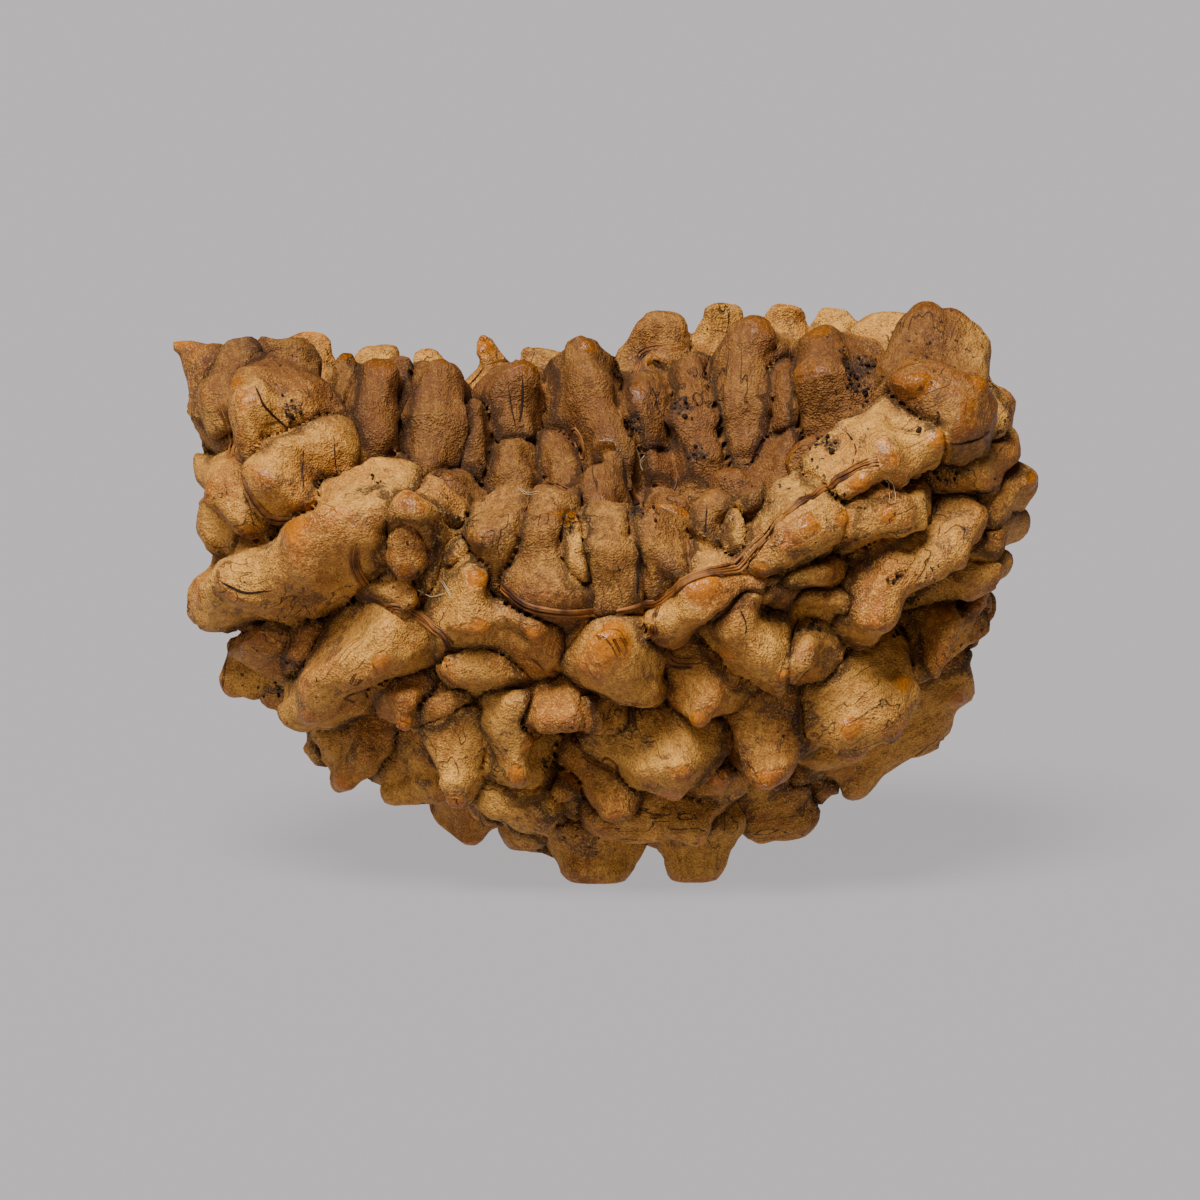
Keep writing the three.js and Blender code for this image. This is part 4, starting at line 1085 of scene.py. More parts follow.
skin = skin_of(slim)
points = mesh_points(slim)
normals = mesh_normals(slim)
on_nub = np.zeros(len(points))
in_pit = np.zeros(len(points))
for marks, shown in ((NUBS, on_nub), (PITS, in_pit)):
    for x, height, radius, push in marks:
        centre = seen_point(skin, x, height)[0]
        if centre is not None:
            points, share = pushed(points, normals, centre, radius, push)
            np.maximum(shown, share, out=shown)
soil_near = np.zeros(len(points))
for x, height, spread, _ in SOIL_SPOTS:
    centre = seen_point(skin, x, height)[0]
    if centre is not None:
        share = pushed(points, normals, centre, SOIL_REACH * spread, 0)[1]
        soil_near = np.maximum(soil_near, share)
points = np.clip(points, low, high)
set_points(slim, points)
print("nubs:", len(NUBS), "pits:", len(PITS))

# %% [markdown]
# Wear, dirt and the painted shade of seams and the hollow follow the form, so the form is
# measured on the finished mesh and stored at its vertices. Relief is how far a vertex lies above
# a smoothed copy of the surface: positive on crests, negative in seams. The knob's own frame is
# stored too, so that fibres can run from foot to crest, and each knob gets a tone of its own.

# %% Measures on the mesh


def edge_pairs(mesh):
    flat = np.empty(len(mesh.edges) * 2, dtype=np.int32)
    mesh.edges.foreach_get("vertices", flat)
    return flat.reshape(-1, 2)


def neighbour_mean(values, pairs, count):
    """At each vertex, the mean of the values at the vertices that share an edge with it."""
    total = np.zeros_like(values)
    for k in range(values.shape[1]):
        total[:, k] = np.bincount(pairs[:, 0], values[pairs[:, 1], k], len(values))
        total[:, k] += np.bincount(pairs[:, 1], values[pairs[:, 0], k], len(values))
    return total / count[:, None]


def relief(points, normals, pairs, rounds):
    """How far each vertex lies above the surface smoothed by this many rounds of averaging."""
    count = np.maximum(np.bincount(pairs.ravel(), minlength=len(points)), 1)
    smooth = points.copy()
    for _ in range(rounds):
        smooth = (smooth + neighbour_mean(smooth, pairs, count)) / 2
    return ((points - smooth) * normals).sum(axis=1)


def ramp(values, low, high):
    """0 at low, 1 at high, with a smooth step between."""
    t = np.clip((values - low) / (high - low), 0, 1)
    return t * t * (3 - 2 * t)


def store(mesh, name, values):
    """A number, or a vector, at each vertex, for the material to read by name."""
    values = np.asarray(values, dtype=np.float32)
    kind, key = ("FLOAT_VECTOR", "vector") if values.ndim == 2 else ("FLOAT", "value")
    attribute = mesh.attributes.new(name, kind, "POINT")
    attribute.data.foreach_set(key, values.ravel())


points = mesh_points(slim)
normals = mesh_normals(slim)
pairs = edge_pairs(slim)
in_lists = points + BOX_MIDDLE / MM

# The front wall and the block at its right broke off: their bare wood is nearly as brown as the
# hollow's painted shade. They are these rows of ARMS.
WALL_ARMS = (9, 10, 11, 12, 13, 14, 28)
WALL_SHADE = 0.7
PLACE_SHIFT = 17.0  # keeps one knob's noise apart from the next one's
FINE_ROUNDS = 6
BROAD_ROUNDS = 80
SCOOP_DEPTHS = (2.2, 0.2)  # mm outside the scoop, from no shade to full shade
SCOOP_FRONT = (-5.5, -2.5)  # and mm from front to back
SEAM_SHADE_WIDTH = 0.3
SEAM_RISES = (2.6, 1.2)  # mm over the core, from no seam's shade to its full shade
best = np.full(len(points), FAR)
other = np.full(len(points), FAR)
place = np.zeros((len(points), 3))
tone = np.zeros(len(points))
knob_tones = np.random.default_rng(7).uniform(0, 1, knobs)
for knob, group in groups.items():
    distance = knob_distance(in_lists, group)
    closer = distance < best
    other = np.minimum(other, np.where(closer, best, distance))
    best = np.where(closer, distance, best)
    along, side, up = lobe_place(in_lists[closer], group[0])
    place[closer] = np.stack([along, side, up], axis=1) + PLACE_SHIFT * knob
    tone[closer] = knob_tones[knob]

of_wall = np.zeros(len(points))
for number, arm in enumerate(arms):
    distance = arm_distance(in_lists, arm)
    closer = distance < best
    other = np.minimum(other, np.where(closer, best, distance))
    best = np.where(closer, distance, best)
    run = arm["bends"][1] - arm["bends"][0]
    run = run / np.linalg.norm(run)
    beside = np.cross(run, arm["normals"][0])
    frame_of_arm = np.stack([beside, np.cross(run, beside), run], axis=1)
    in_frame = (in_lists[closer] - arm["bends"][0]) @ frame_of_arm
    place[closer] = in_frame + PLACE_SHIFT * arm["knob"]
    tone[closer] = 0.3 + 0.4 * (number % 2)
    of_wall[closer] = number in WALL_ARMS

rise = core_distance(in_lists)
fine = relief(points, normals, pairs, FINE_ROUNDS)
broad = relief(points, normals, pairs, BROAD_ROUNDS)
print("5th, 50th and 95th percentile of the fine and broad relief and the rise, in mm:")
for values in (fine, broad, rise):
    print(np.percentile(values, [5, 50, 95]).round(3))
fine = fine / np.percentile(fine, 95)
broad = broad / np.percentile(broad, 95)
# Painted shade in the hollow, darker deeper in and towards the back, and the broken wall's wood.
hollow_shade_and_bare_wood = ramp(ellipsoid_distance(in_lists, **SCOOP), *SCOOP_DEPTHS)
hollow_shade_and_bare_wood = np.maximum(hollow_shade_and_bare_wood * ramp(in_lists[:, 1], *SCOOP_FRONT), WALL_SHADE * of_wall)
seam_shade = np.exp(-((other - best) / SEAM_SHADE_WIDTH) ** 2) * ramp(rise, *SEAM_RISES)
measures = {
    "fine_relief": fine,
    "broad_relief": broad,
    "seam": seam_shade,
    "hollow_shade_and_bare_wood": hollow_shade_and_bare_wood,
    "on_nub": on_nub,
    "in_pit": in_pit,
    "soil_near": soil_near,
    "knob_place": place,
    "knob_tone": tone,
}
for name, values in measures.items():
    store(slim, name, values)
print("stored for the material:", list(measures))

# %% [markdown]
# Rudraksha stone is lignified endocarp, a wood-like shell of stone cells. Cleaned and dried it
# is golden brown, as fine as sandstone, with mauve-brown patches where skin is left, darker
# seams, and orange-brown crests that hands and brushes have polished. The photograph shows all
# of these, at sizes from 0.03 to 2 mm. So the colour is built from the form's measures and from
# noises in real millimetres, and the gloss follows the polished crests. Shade is painted into
# the colour too: in seams, clefts, pits, cracks and the hollow, and as glints on pale grains.

# %% Colours and nodes


def linear(code):
    """An sRGB hex colour as linear red, green, blue and alpha."""
    parts = [int(code[i : i + 2], 16) / 255 for i in (1, 3, 5)]
    parts = [c / 12.92 if c <= 0.04045 else ((c + 0.055) / 1.055) ** 2.4 for c in parts]
    return (*parts, 1.0)


def new_material(name):
    material = bpy.data.materials.new(name)
    material.use_nodes = True
    tree = material.node_tree
    return material, tree, tree.nodes["Principled BSDF"]


def add(tree, kind, inputs=None, **settings):
    """A node with its settings. An input is a value, or another node's output to link from."""
    node = tree.nodes.new(kind)
    stops = settings.pop("stops", None)
    for key, value in settings.items():
        setattr(node, key, value)
    if stops:
        ramp_stops = node.color_ramp.elements
        while len(ramp_stops) < len(stops):
            ramp_stops.new(0.5)
        for stop, (position, colour) in zip(ramp_stops, stops):
            stop.position = position
            stop.color = colour
    for key, value in (inputs or {}).items():
        if isinstance(value, bpy.types.NodeSocket):
            tree.links.new(value, node.inputs[key])
        else:
            node.inputs[key].default_value = value
    return node


def mix(tree, factor, a, b):
    """Colour a turned into colour b by the factor."""
    inputs = {"Factor": factor, 6: a, 7: b}
    return add(tree, "ShaderNodeMix", inputs, data_type="RGBA").outputs[2]


def maths(tree, operation, a, b=0.0, c=0.0):
    inputs = {0: a, 1: b, 2: c}
    return add(tree, "ShaderNodeMath", inputs, operation=operation).outputs[0]


def fade(tree, value, low, high, to_low=0.0, to_high=1.0):
    """A smooth step of a value between two limits."""
    inputs = {"Value": value, "From Min": low, "From Max": high}
    inputs.update({"To Min": to_low, "To Max": to_high})
    return add(tree, "ShaderNodeMapRange", inputs, interpolation_type="SMOOTHSTEP").outputs[0]


def measure(tree, name, output="Fac"):
    return add(tree, "ShaderNodeAttribute", attribute_name=name).outputs[output]


def noise(tree, place, size_mm, detail=2.0, roughness=0.5, shift=0.0):
    """Noise over places in millimetres. A light and a dark lump together are about this wide."""
    moved = add(tree, "ShaderNodeVectorMath", {0: place, 1: (shift, shift, shift)}, operation="ADD")
    inputs = {"Vector": moved.outputs[0], "Scale": 1 / size_mm}
    inputs.update({"Detail": detail, "Roughness": roughness})
    return add(tree, "ShaderNodeTexNoise", inputs).outputs["Fac"]


def in_millimetres(tree):
    """The Object coordinates, which are metres, as millimetres."""
    inputs = {0: add(tree, "ShaderNodeTexCoord").outputs["Object"], "Scale": 1 / MM}
    return add(tree, "ShaderNodeVectorMath", inputs, operation="SCALE").outputs[0]


GOLD = linear("#c98d3a")
TAN = linear("#a26322")
DEEP_TAN = linear("#63350d")
MAUVE = linear("#5d3a25")
ORANGE = linear("#ab5c12")
AMBER = linear("#a8600f")
RUST = linear("#72350b")
# the seams' own brown, and painted shade in clefts, pits and cracks
SEAM_BROWN_AND_SHADE = linear("#2a1205")
# the hollow's painted shade, which the broken wall's bare wood shares
SHADE_AND_BARE_WOOD_BROWN = linear("#58300c")
DIRT_BLACK = linear("#120d0a")
# pale stone cells, and painted glints on them
GRAIN_PALE_AND_GLINT = linear("#deac55")
print("a gold highlight in linear colour:", [round(c, 3) for c in GOLD])

# %% Dried rudraksha endocarp
stone_finish, tree, shader = new_material("dried_endocarp")
at = in_millimetres(tree)
knob_at = measure(tree, "knob_place", "Vector")
fine_relief = measure(tree, "fine_relief")
broad_relief = measure(tree, "broad_relief")
seam_near = measure(tree, "seam")
hollow_shade_and_bare_wood_here = measure(tree, "hollow_shade_and_bare_wood")
own_tone = measure(tree, "knob_tone")
nub_here = measure(tree, "on_nub")
pit_here = measure(tree, "in_pit")

# Ground colour: gold to tan in soft clouds about 1.5 mm across, a little apart from knob to knob.
clouds = noise(tree, at, 3.0, 4, 0.6)
clouds = maths(tree, "ADD", clouds, maths(tree, "MULTIPLY_ADD", own_tone, 0.22, -0.11))
ground = mix(tree, fade(tree, clouds, 0.34, 0.62), TAN, GOLD)

# Fibres from foot to crest: noise stretched along the knob's axis, 0.1 mm across.
stretched = add(tree, "ShaderNodeVectorMath", {0: knob_at, 1: (1.0, 1.0, 0.16)}, operation="MULTIPLY")
fibres = noise(tree, stretched.outputs[0], 0.2, 3, 0.6)
# In the hollow the dark fibres are stronger, as part of its painted shade.
fibre_shade = maths(tree, "MULTIPLY_ADD", hollow_shade_and_bare_wood_here, 0.35, 0.35)
fibre_shade = maths(tree, "MULTIPLY", fade(tree, fibres, 0.62, 0.40), fibre_shade)
ground = mix(tree, fibre_shade, ground, DEEP_TAN)

# Mauve patches, 0.8 mm across with grainy edges, where thin skin is left.
patches = noise(tree, at, 1.6, 6, 0.72, 11)
patch_mask = fade(tree, patches, 0.54, 0.62, 0, 0.75)
ground = mix(tree, patch_mask, ground, MAUVE)

# Polished crests: where the surface stands highest over its surroundings, broken by a noise.
wear = maths(tree, "MULTIPLY_ADD", noise(tree, at, 1.2, 3, 0.6, 5), 1.0, -0.5)
wear = maths(tree, "ADD", wear, broad_relief)
wear = maths(tree, "MULTIPLY_ADD", nub_here, 0.8, wear)
crest = fade(tree, wear, 0.9, 1.4)
crest_colour = mix(tree, fade(tree, noise(tree, at, 1.0, 4, 0.6, 21), 0.4, 0.6), RUST, ORANGE)
coloured = mix(tree, maths(tree, "MULTIPLY", crest, 0.7), ground, crest_colour)
glossy = fade(tree, nub_here, 0.15, 0.7)
coloured = mix(tree, maths(tree, "MULTIPLY", glossy, 0.7), coloured, AMBER)

# Painted shade: seams and hollows darken and redden. The hollow's painted shade and the broken
# wall's bare wood turn to one dark brown.
valley = fade(tree, broad_relief, 0.1, -1.0)
coloured = mix(tree, maths(tree, "MULTIPLY", valley, 0.55), coloured, DEEP_TAN)
coloured = mix(tree, maths(tree, "MULTIPLY", hollow_shade_and_bare_wood_here, 0.75), coloured, SHADE_AND_BARE_WOOD_BROWN)
# Painted shade in clefts, seams and pits, with the seams' own darker brown in it.
cleft = fade(tree, fine_relief, -0.4, -1.4)
cleft = maths(tree, "MAXIMUM", cleft, maths(tree, "MULTIPLY", seam_near, 0.85))
cleft = maths(tree, "MAXIMUM", cleft, fade(tree, pit_here, 0.15, 0.5))
coloured = mix(tree, maths(tree, "MULTIPLY", cleft, 0.85), coloured, SEAM_BROWN_AND_SHADE)

# Hairline cracks along the fibres: thin lines where a stretched noise crosses its middle. Their
# dark colour is painted crack shade, and the bump cuts them in.
crack_noise = noise(tree, stretched.outputs[0], 0.9, 2, 0.5, 23)
from_middle = maths(tree, "ABSOLUTE", maths(tree, "SUBTRACT", crack_noise, 0.5))
crack_line = fade(tree, from_middle, 0.010, 0.003)
crack_here = fade(tree, noise(tree, at, 3.0, 2, 0.5, 31), 0.52, 0.60)
crack_and_its_shade = maths(tree, "MULTIPLY", crack_line, crack_here)
coloured = mix(tree, maths(tree, "MULTIPLY", crack_and_its_shade, 0.7), coloured, SEAM_BROWN_AND_SHADE)

# Stone cells: pale and dark grains a few hundredths of a millimetre across, the finest that
# the picture shows. They lighten and darken the skin all over, and clots of 0.12 mm vary them.
# The pale grains are partly painted glints: fewer in the hollow's painted shade and on the
# glossy nubs, which have gloss of their own.
grain = noise(tree, at, 0.065, 1, 0.5, 41)
clots = noise(tree, at, 0.25, 2, 0.6, 43)
speckle = maths(tree, "MULTIPLY_ADD", clots, 0.5, grain)
shine = fade(tree, maths(tree, "MAXIMUM", hollow_shade_and_bare_wood_here, glossy), 0, 1, 0.5, 0.15)
shine = maths(tree, "MULTIPLY", fade(tree, speckle, 0.75, 1.0), shine)
coloured = mix(tree, shine, coloured, GRAIN_PALE_AND_GLINT)
coloured = mix(tree, fade(tree, speckle, 0.75, 0.5, 0, 0.45), coloured, DEEP_TAN)

# Soil stains round the crumbs, with ragged edges.
stain = maths(tree, "MULTIPLY_ADD", noise(tree, at, 0.3, 5, 0.8, 81), 3.6, -1.8)
stain = fade(tree, maths(tree, "ADD", stain, measure(tree, "soil_near")), 0.45, 0.9)
stain = maths(tree, "MULTIPLY", stain, fade(tree, measure(tree, "soil_near"), 0.0, 0.25))
coloured = mix(tree, maths(tree, "MULTIPLY", stain, 0.8), coloured, DIRT_BLACK)

# Dark flecks 0.1 mm across, in loose swarms, thickest in the seams.
flecks = noise(tree, at, 0.22, 2, 0.6, 51)
swarm = noise(tree, at, 4.0, 2, 0.5, 61)
swarm = maths(tree, "MULTIPLY_ADD", cleft, 0.06, swarm)
fleck_limit = fade(tree, swarm, 0.45, 0.68, 0.74, 0.63)
fleck = fade(tree, maths(tree, "SUBTRACT", flecks, fleck_limit), 0.0, 0.03)
coloured = mix(tree, maths(tree, "MULTIPLY", fleck, 0.9), coloured, DIRT_BLACK)

# Gloss: dry and dusty on the flanks, smooth on the crests.
rough = mix(tree, crest, (0.68, 0.68, 0.68, 1), (0.40, 0.40, 0.40, 1))
rough = mix(tree, glossy, rough, (0.26, 0.26, 0.26, 1))
rough = maths(tree, "ADD", rough, maths(tree, "MULTIPLY_ADD", grain, 0.2, -0.1))

# Relief too fine for the mesh: lumps of 0.4 mm, fibres, stone cells and cracks.
lumps = noise(tree, at, 0.8, 4, 0.55, 71)
height = maths(tree, "MULTIPLY", lumps, 0.22)
height = maths(tree, "MULTIPLY_ADD", fibres, 0.05, height)
grain_height = fade(tree, maths(tree, "MAXIMUM", crest, glossy), 0, 1, 0.08, 0.015)
height = maths(tree, "ADD", height, maths(tree, "MULTIPLY", speckle, grain_height))
height = maths(tree, "MULTIPLY_ADD", crack_and_its_shade, -0.10, height)
bump = add(tree, "ShaderNodeBump", {"Height": height, "Distance": MM, "Strength": 1.0})

tree.links.new(coloured, shader.inputs["Base Color"])
tree.links.new(rough, shader.inputs["Roughness"])
tree.links.new(bump.outputs[0], shader.inputs["Normal"])
shader.inputs["IOR"].default_value = 1.5
shader.inputs["Specular IOR Level"].default_value = 0.3

slim.materials.clear()
slim.materials.append(stone_finish)
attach(stone, "root")
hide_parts(STONE)
print("nodes in the stone's finish:", len(tree.nodes))

# %% [markdown]
# Brown fibres lie in the seams: the veins that fed the fruit ran there. On the real stone they
# are cords of a few strands, 0.1 mm thick, that follow a seam for several millimetres. The
# clearest cords are draped over the stone where they show in the picture. On all sides others
# find their own way: each starts in a deep seam and keeps stepping to the lowest skin ahead.

# %% Cords that show from the front: x and height in the picture
SEAM_CORDS = [
    [
        [-12.6, 15.7], [-12.4, 15.2], [-12.2, 14.7], [-12.1, 13.8], [-11.7, 13.2], [-11.4, 12.6],
        [-10.9, 11.6], [-10, 11.7],
    ],
    [[-8.8, 15.6], [-8.4, 15], [-7.9, 14.4], [-7.6, 13.4]],
    [[-8.0, 10.8], [-7.7, 9.0], [-6.4, 8.6], [-5.2, 8.0], [-4.9, 7.2]],
    [
        [-3.2, 9.5], [-2.7, 9.1], [-2, 8.85], [0, 8.55], [1.5, 8.8], [3, 9.6], [4.3, 10.0],
        [4.9, 10.4], [6, 11.6],
    ],
    [[6, 11.6], [7, 12.6], [8, 12.9], [9, 13.6]],
    [[-1.3, 15], [-0.3, 13.3]],
    [[-4.7, 13.4], [-3.5, 12]],
    [[-2.1, 13.4], [-3.3, 12]],
    [[1.9, 8.7], [1.6, 7.6], [2.3, 6.9], [3.4, 7.0]],
]
# Cracks, along which a dark strand is laid as painted crack shade: x and height in the picture
CRACKS = [
    [[-11.3, 16.0], [-11.0, 15.3], [-10.2, 14.6]], [[-10.4, 17.4], [-10.4, 16.6]],
    [[-9.7, 14.2], [-9.7, 12.6]], [[-8.7, 14.4], [-8.6, 12.9]],
    [[-3.1, 16.6], [-3.0, 15.6], [-2.8, 14.7]], [[-2.6, 16.4], [-2.6, 15.4], [-2.7, 14.9]],
    [[-0.35, 11.2], [-0.4, 9.2]], [[1.2, 10.8], [1.2, 9.2]], [[3.5, 12.4], [3.4, 10.9]],
    [[-8.9, 17.2], [-9.0, 16.6], [-8.8, 16.2]], [[8.0, 14.5], [8.4, 14.0], [8.2, 13.4]],
    [[9.8, 8.9], [10.4, 9.3], [10.7, 9.9]], [[-12.4, 9.6], [-11.6, 9.2], [-10.7, 9.3]],
    [[4.4, 8.9], [4.8, 8.2], [4.6, 7.6]], [[12.9, 14.6], [12.1, 14.1], [11.4, 14.1]],
]
CORD_STEP = 0.15
CORD_JUMP = 0.6  # mm between two places in a row, past which a line is parted
LINE_POINTS = 3  # a stretch needs more places than this


def along_line(path, step):
    """Places at even steps along a line of straight stretches."""
    path = np.array(path, dtype=float)
    reach = np.concatenate([[0], np.cumsum(np.linalg.norm(np.diff(path, axis=0), axis=1))])
    at = np.linspace(0, reach[-1], max(int(reach[-1] / step), 4))
    return np.stack([np.interp(at, reach, path[:, k]) for k in range(path.shape[1])], axis=1)


def draped(skin, path):
    """The line of the picture laid on the stone, as places and skin directions. Where it jumps
    in depth, from a knob's edge to what lies behind, it is parted."""
    found = [seen_point(skin, x, height) for x, height in along_line(path, CORD_STEP)]
    found = [pair for pair in found if pair[0] is not None]
    places, directions = (np.array(each) for each in zip(*found))
    jumps = np.linalg.norm(np.diff(places, axis=0), axis=1) > CORD_JUMP
    stretches = np.split(np.arange(len(places)), np.nonzero(jumps)[0] + 1)
    return [(places[part], directions[part]) for part in stretches if len(part) > LINE_POINTS]


skin = skin_of(slim)
front_cords = [part for path in SEAM_CORDS for part in draped(skin, path)]
cracks = [part for path in CRACKS for part in draped(skin, path)]
print("cords on the front:", len(front_cords), "cracks:", len(cracks))

# %% Cords that find their own way
WALKERS = 300
WALK_STEPS = 22
WALK_STEP = 0.22
SEAM_RELIEF = -0.8  # a walk starts where the fine relief is lower than this
WALK_LOWNESS = 0.3  # and is kept if its mean lowness is more than this
TURN_COST = 0.5
STAY_COST = 9.0
TURNS = np.radians([-50, -30, -12, 0, 12, 30, 50])

rng = np.random.default_rng(19)
points = mesh_points(slim)
normals = mesh_normals(slim)
lowness = -(fine + broad)
tree_of_points = KDTree(len(points))
for index, place_mm in enumerate(points):
    tree_of_points.insert(place_mm, index)
tree_of_points.balance()


def nearest_vertices(places):
    return np.array([tree_of_points.find(place)[1] for place in places])


in_seams = np.nonzero((fine < SEAM_RELIEF) & (points[:, 2] > 0.5))[0]
here = rng.choice(in_seams, WALKERS, replace=False)
heading = rng.normal(size=(WALKERS, 3))
tracks = [here]
for _ in range(WALK_STEPS):
    normal = normals[here]
    heading = heading - normal * (heading * normal).sum(axis=1, keepdims=True)
    heading = heading / np.linalg.norm(heading, axis=1, keepdims=True)
    across = np.cross(normal, heading)
    choices = []
    for turn in TURNS:
        ahead = points[here] + (heading * math.cos(turn) + across * math.sin(turn)) * WALK_STEP
        choices.append(nearest_vertices(ahead))
    choices = np.array(choices)
    worth = lowness[choices] - TURN_COST * np.abs(TURNS)[:, None] - STAY_COST * (choices == here)
    best_turn = worth.argmax(axis=0)
    after = choices[best_turn, np.arange(WALKERS)]
    heading = points[after] - points[here] + heading * 0.05
    here = after
    tracks.append(here)
tracks = np.array(tracks).T
tracks = tracks[lowness[tracks].mean(axis=1) > WALK_LOWNESS]
deepest_first = np.argsort(-lowness[tracks].mean(axis=1))
tracks = tracks[deepest_first[: len(tracks) // 2]]
print("cords that found a seam, the deeper half:", len(tracks), "of", WALKERS)

# %% Strands
SNAP_REACH = 0.32  # mm from the drawn line within which a cord looks for the seam
SNAP_COST = 2.5
CORD_POINTS = 7  # a cord or a crack needs more points than this
FULL_TURN = 6.28
# each kind's strands, their thickness and spread in mm, and their lift in thicknesses
DRAWN_CORD = {"many": 7, "thickness": 0.048, "spread": 0.14, "lift": 0.9}
FOUND_CORD = {"many": 3, "thickness": 0.035, "spread": 0.09, "lift": 0.2}
# a crack's one dark strand, sunk in the skin, is painted crack shade
CRACK_SHADE = {"many": 1, "thickness": 0.05, "spread": 0.02, "lift": -0.3}
PALE_HAIR = {"many": 2, "thickness": 0.009, "spread": 0.10, "lift": 6.0}


def smoothed(path, rounds=2):
    """A path with each inner point moved to the mean of itself and its two neighbours."""
    path = path.copy()
    for _ in range(rounds):
        path[1:-1] = (path[:-2] + path[1:-1] + path[2:]) / 3
    return path


def tubes(paths, radii, sides):
    """A ring of this many sides round each point of each path, in the plane across it, and
    quads between the rings and over both ends. Paths are (strands, points, 3)."""
    count, length = paths.shape[:2]
    tangent = np.gradient(paths, axis=1)
    tangent = tangent / np.maximum(np.linalg.norm(tangent, axis=2, keepdims=True), 1e-9)
    helper = np.where(np.abs(tangent[..., 2:3]) < 0.8, [0.0, 0.0, 1.0], [1.0, 0.0, 0.0])
    side = np.cross(tangent, helper)
    side = side / np.linalg.norm(side, axis=2, keepdims=True)
    up = np.cross(tangent, side)
    angle = np.arange(sides) * 2 * math.pi / sides
    circle = side[:, :, None] * np.cos(angle)[:, None] + up[:, :, None] * np.sin(angle)[:, None]
    rings = paths[:, :, None] + circle * radii[:, :, None, None]
    number = np.arange(count * length * sides).reshape(count, length, sides)
    here, after = number[:, :-1], number[:, 1:]
    walls = np.stack([here, np.roll(here, -1, 2), np.roll(after, -1, 2), after], axis=-1)
    ends = [walls.reshape(-1, 4)]
    for k in range(1, sides - 2, 2):
        ends.append(number[:, 0][:, [0, k + 2, k + 1, k]])
        ends.append(number[:, -1][:, [0, k, k + 1, k + 2]])
    return rings.reshape(-1, 3), np.concatenate(ends)


def joined(parts):
    """Several sets of vertices and faces as one."""
    starts = np.cumsum([0] + [len(vertices) for vertices, _ in parts[:-1]])
    faces = [faces + start for (_, faces), start in zip(parts, starts)]
    return np.concatenate([vertices for vertices, _ in parts]), np.concatenate(faces)


def on_skin(path):
    """The skin's nearest place to each point of a path, and its direction there, smoothed."""
    found = [skin.find_nearest(Vector(place))[:2] for place in path]
    places, directions = (np.array(each) for each in zip(*found))
    return places, smoothed(directions)


def strands_on(path, many, thickness, spread, lift):
    """Strands that wander beside each other along a path on the skin: each is moved sideways by
    a slow random wave and lies this much of its thickness over the skin."""
    path, directions = on_skin(smoothed(path))
    length = len(path)
    side = np.cross(np.gradient(path, axis=0), directions)
    side = side / np.maximum(np.linalg.norm(side, axis=1, keepdims=True), 1e-9)
    t = np.linspace(0, 1, length)
    waves = rng.uniform(0, FULL_TURN, (many, 2))
    turns = rng.uniform(1, 3, (many, 2)) * length * CORD_STEP / 2
    sideways = spread * rng.uniform(-1, 1, (many, 1))
    sideways = sideways + 0.5 * spread * np.sin(waves[:, :1] + turns[:, :1] * t)
    thinning = 0.25 + 0.75 * np.sin(math.pi * t) ** 0.4
    radii = thickness * rng.uniform(0.6, 1.2, (many, 1)) * thinning
    height = (lift + 0.5 * np.sin(waves[:, 1:] + turns[:, 1:] * t)) * radii
    paths = path + side * sideways[:, :, None] + directions * height[:, :, None]
    return tubes(paths, radii, 6)


def in_seam(path):
    """The lowest vertex close to each place of a path, without repeats."""
    lowest = []
    for place in path:
        near = tree_of_points.find_range(place, SNAP_REACH)
        worth = [lowness[index] - SNAP_COST * distance for _, index, distance in near]
        index = near[int(np.argmax(worth))][1] if near else tree_of_points.find(place)[1]
        if not lowest or index != lowest[-1]:
            lowest.append(index)
    return np.array(lowest)


cord_parts = []
for path, _ in front_cords:
    track = in_seam(path)
    if len(track) > CORD_POINTS:
        cord_parts.append(strands_on(points[track], **DRAWN_CORD))
for track in tracks:
    cord_parts.append(strands_on(points[track], **FOUND_CORD))
seam_fibres = mesh_object("seam_fibres", *joined(cord_parts))
# Dark strands sunk along the cracks: painted crack shade.
crack_shade_parts = [strands_on(path, **CRACK_SHADE) for path, _ in cracks if len(path) > CORD_POINTS]
crack_shade_lines = mesh_object("crack_shade_lines", *joined(crack_shade_parts))
print("faces of the fibres:", len(seam_fibres.data.polygons))
print("faces of the cracks:", len(crack_shade_lines.data.polygons))

# %% [markdown]
# Finer hairs stand off the cords as fuzz, where the strands frayed in cleaning, and a few
# pale hairs cross the hollow. Export drops hair curves, so each hair is a thin closed tube.

# %% Fuzz and pale hairs
FUZZ = 700
FUZZ_POINTS = 6
HAIR_LINES = [
    [[1.2, 14.0], [1.3, 13.6], [1.5, 13.1]], [[-2.7, 12.7], [-2.3, 12.4], [-1.9, 12.5]],
    [[-6.0, 9.3], [-5.5, 9.0], [-5.0, 9.2]], [[-5.2, 9.7], [-4.9, 9.4], [-4.8, 9.0]],
    [[0.8, 13.4], [1.2, 13.5], [1.7, 13.9]], [[9.3, 13.1], [9.6, 12.6], [9.5, 12.1]],
]

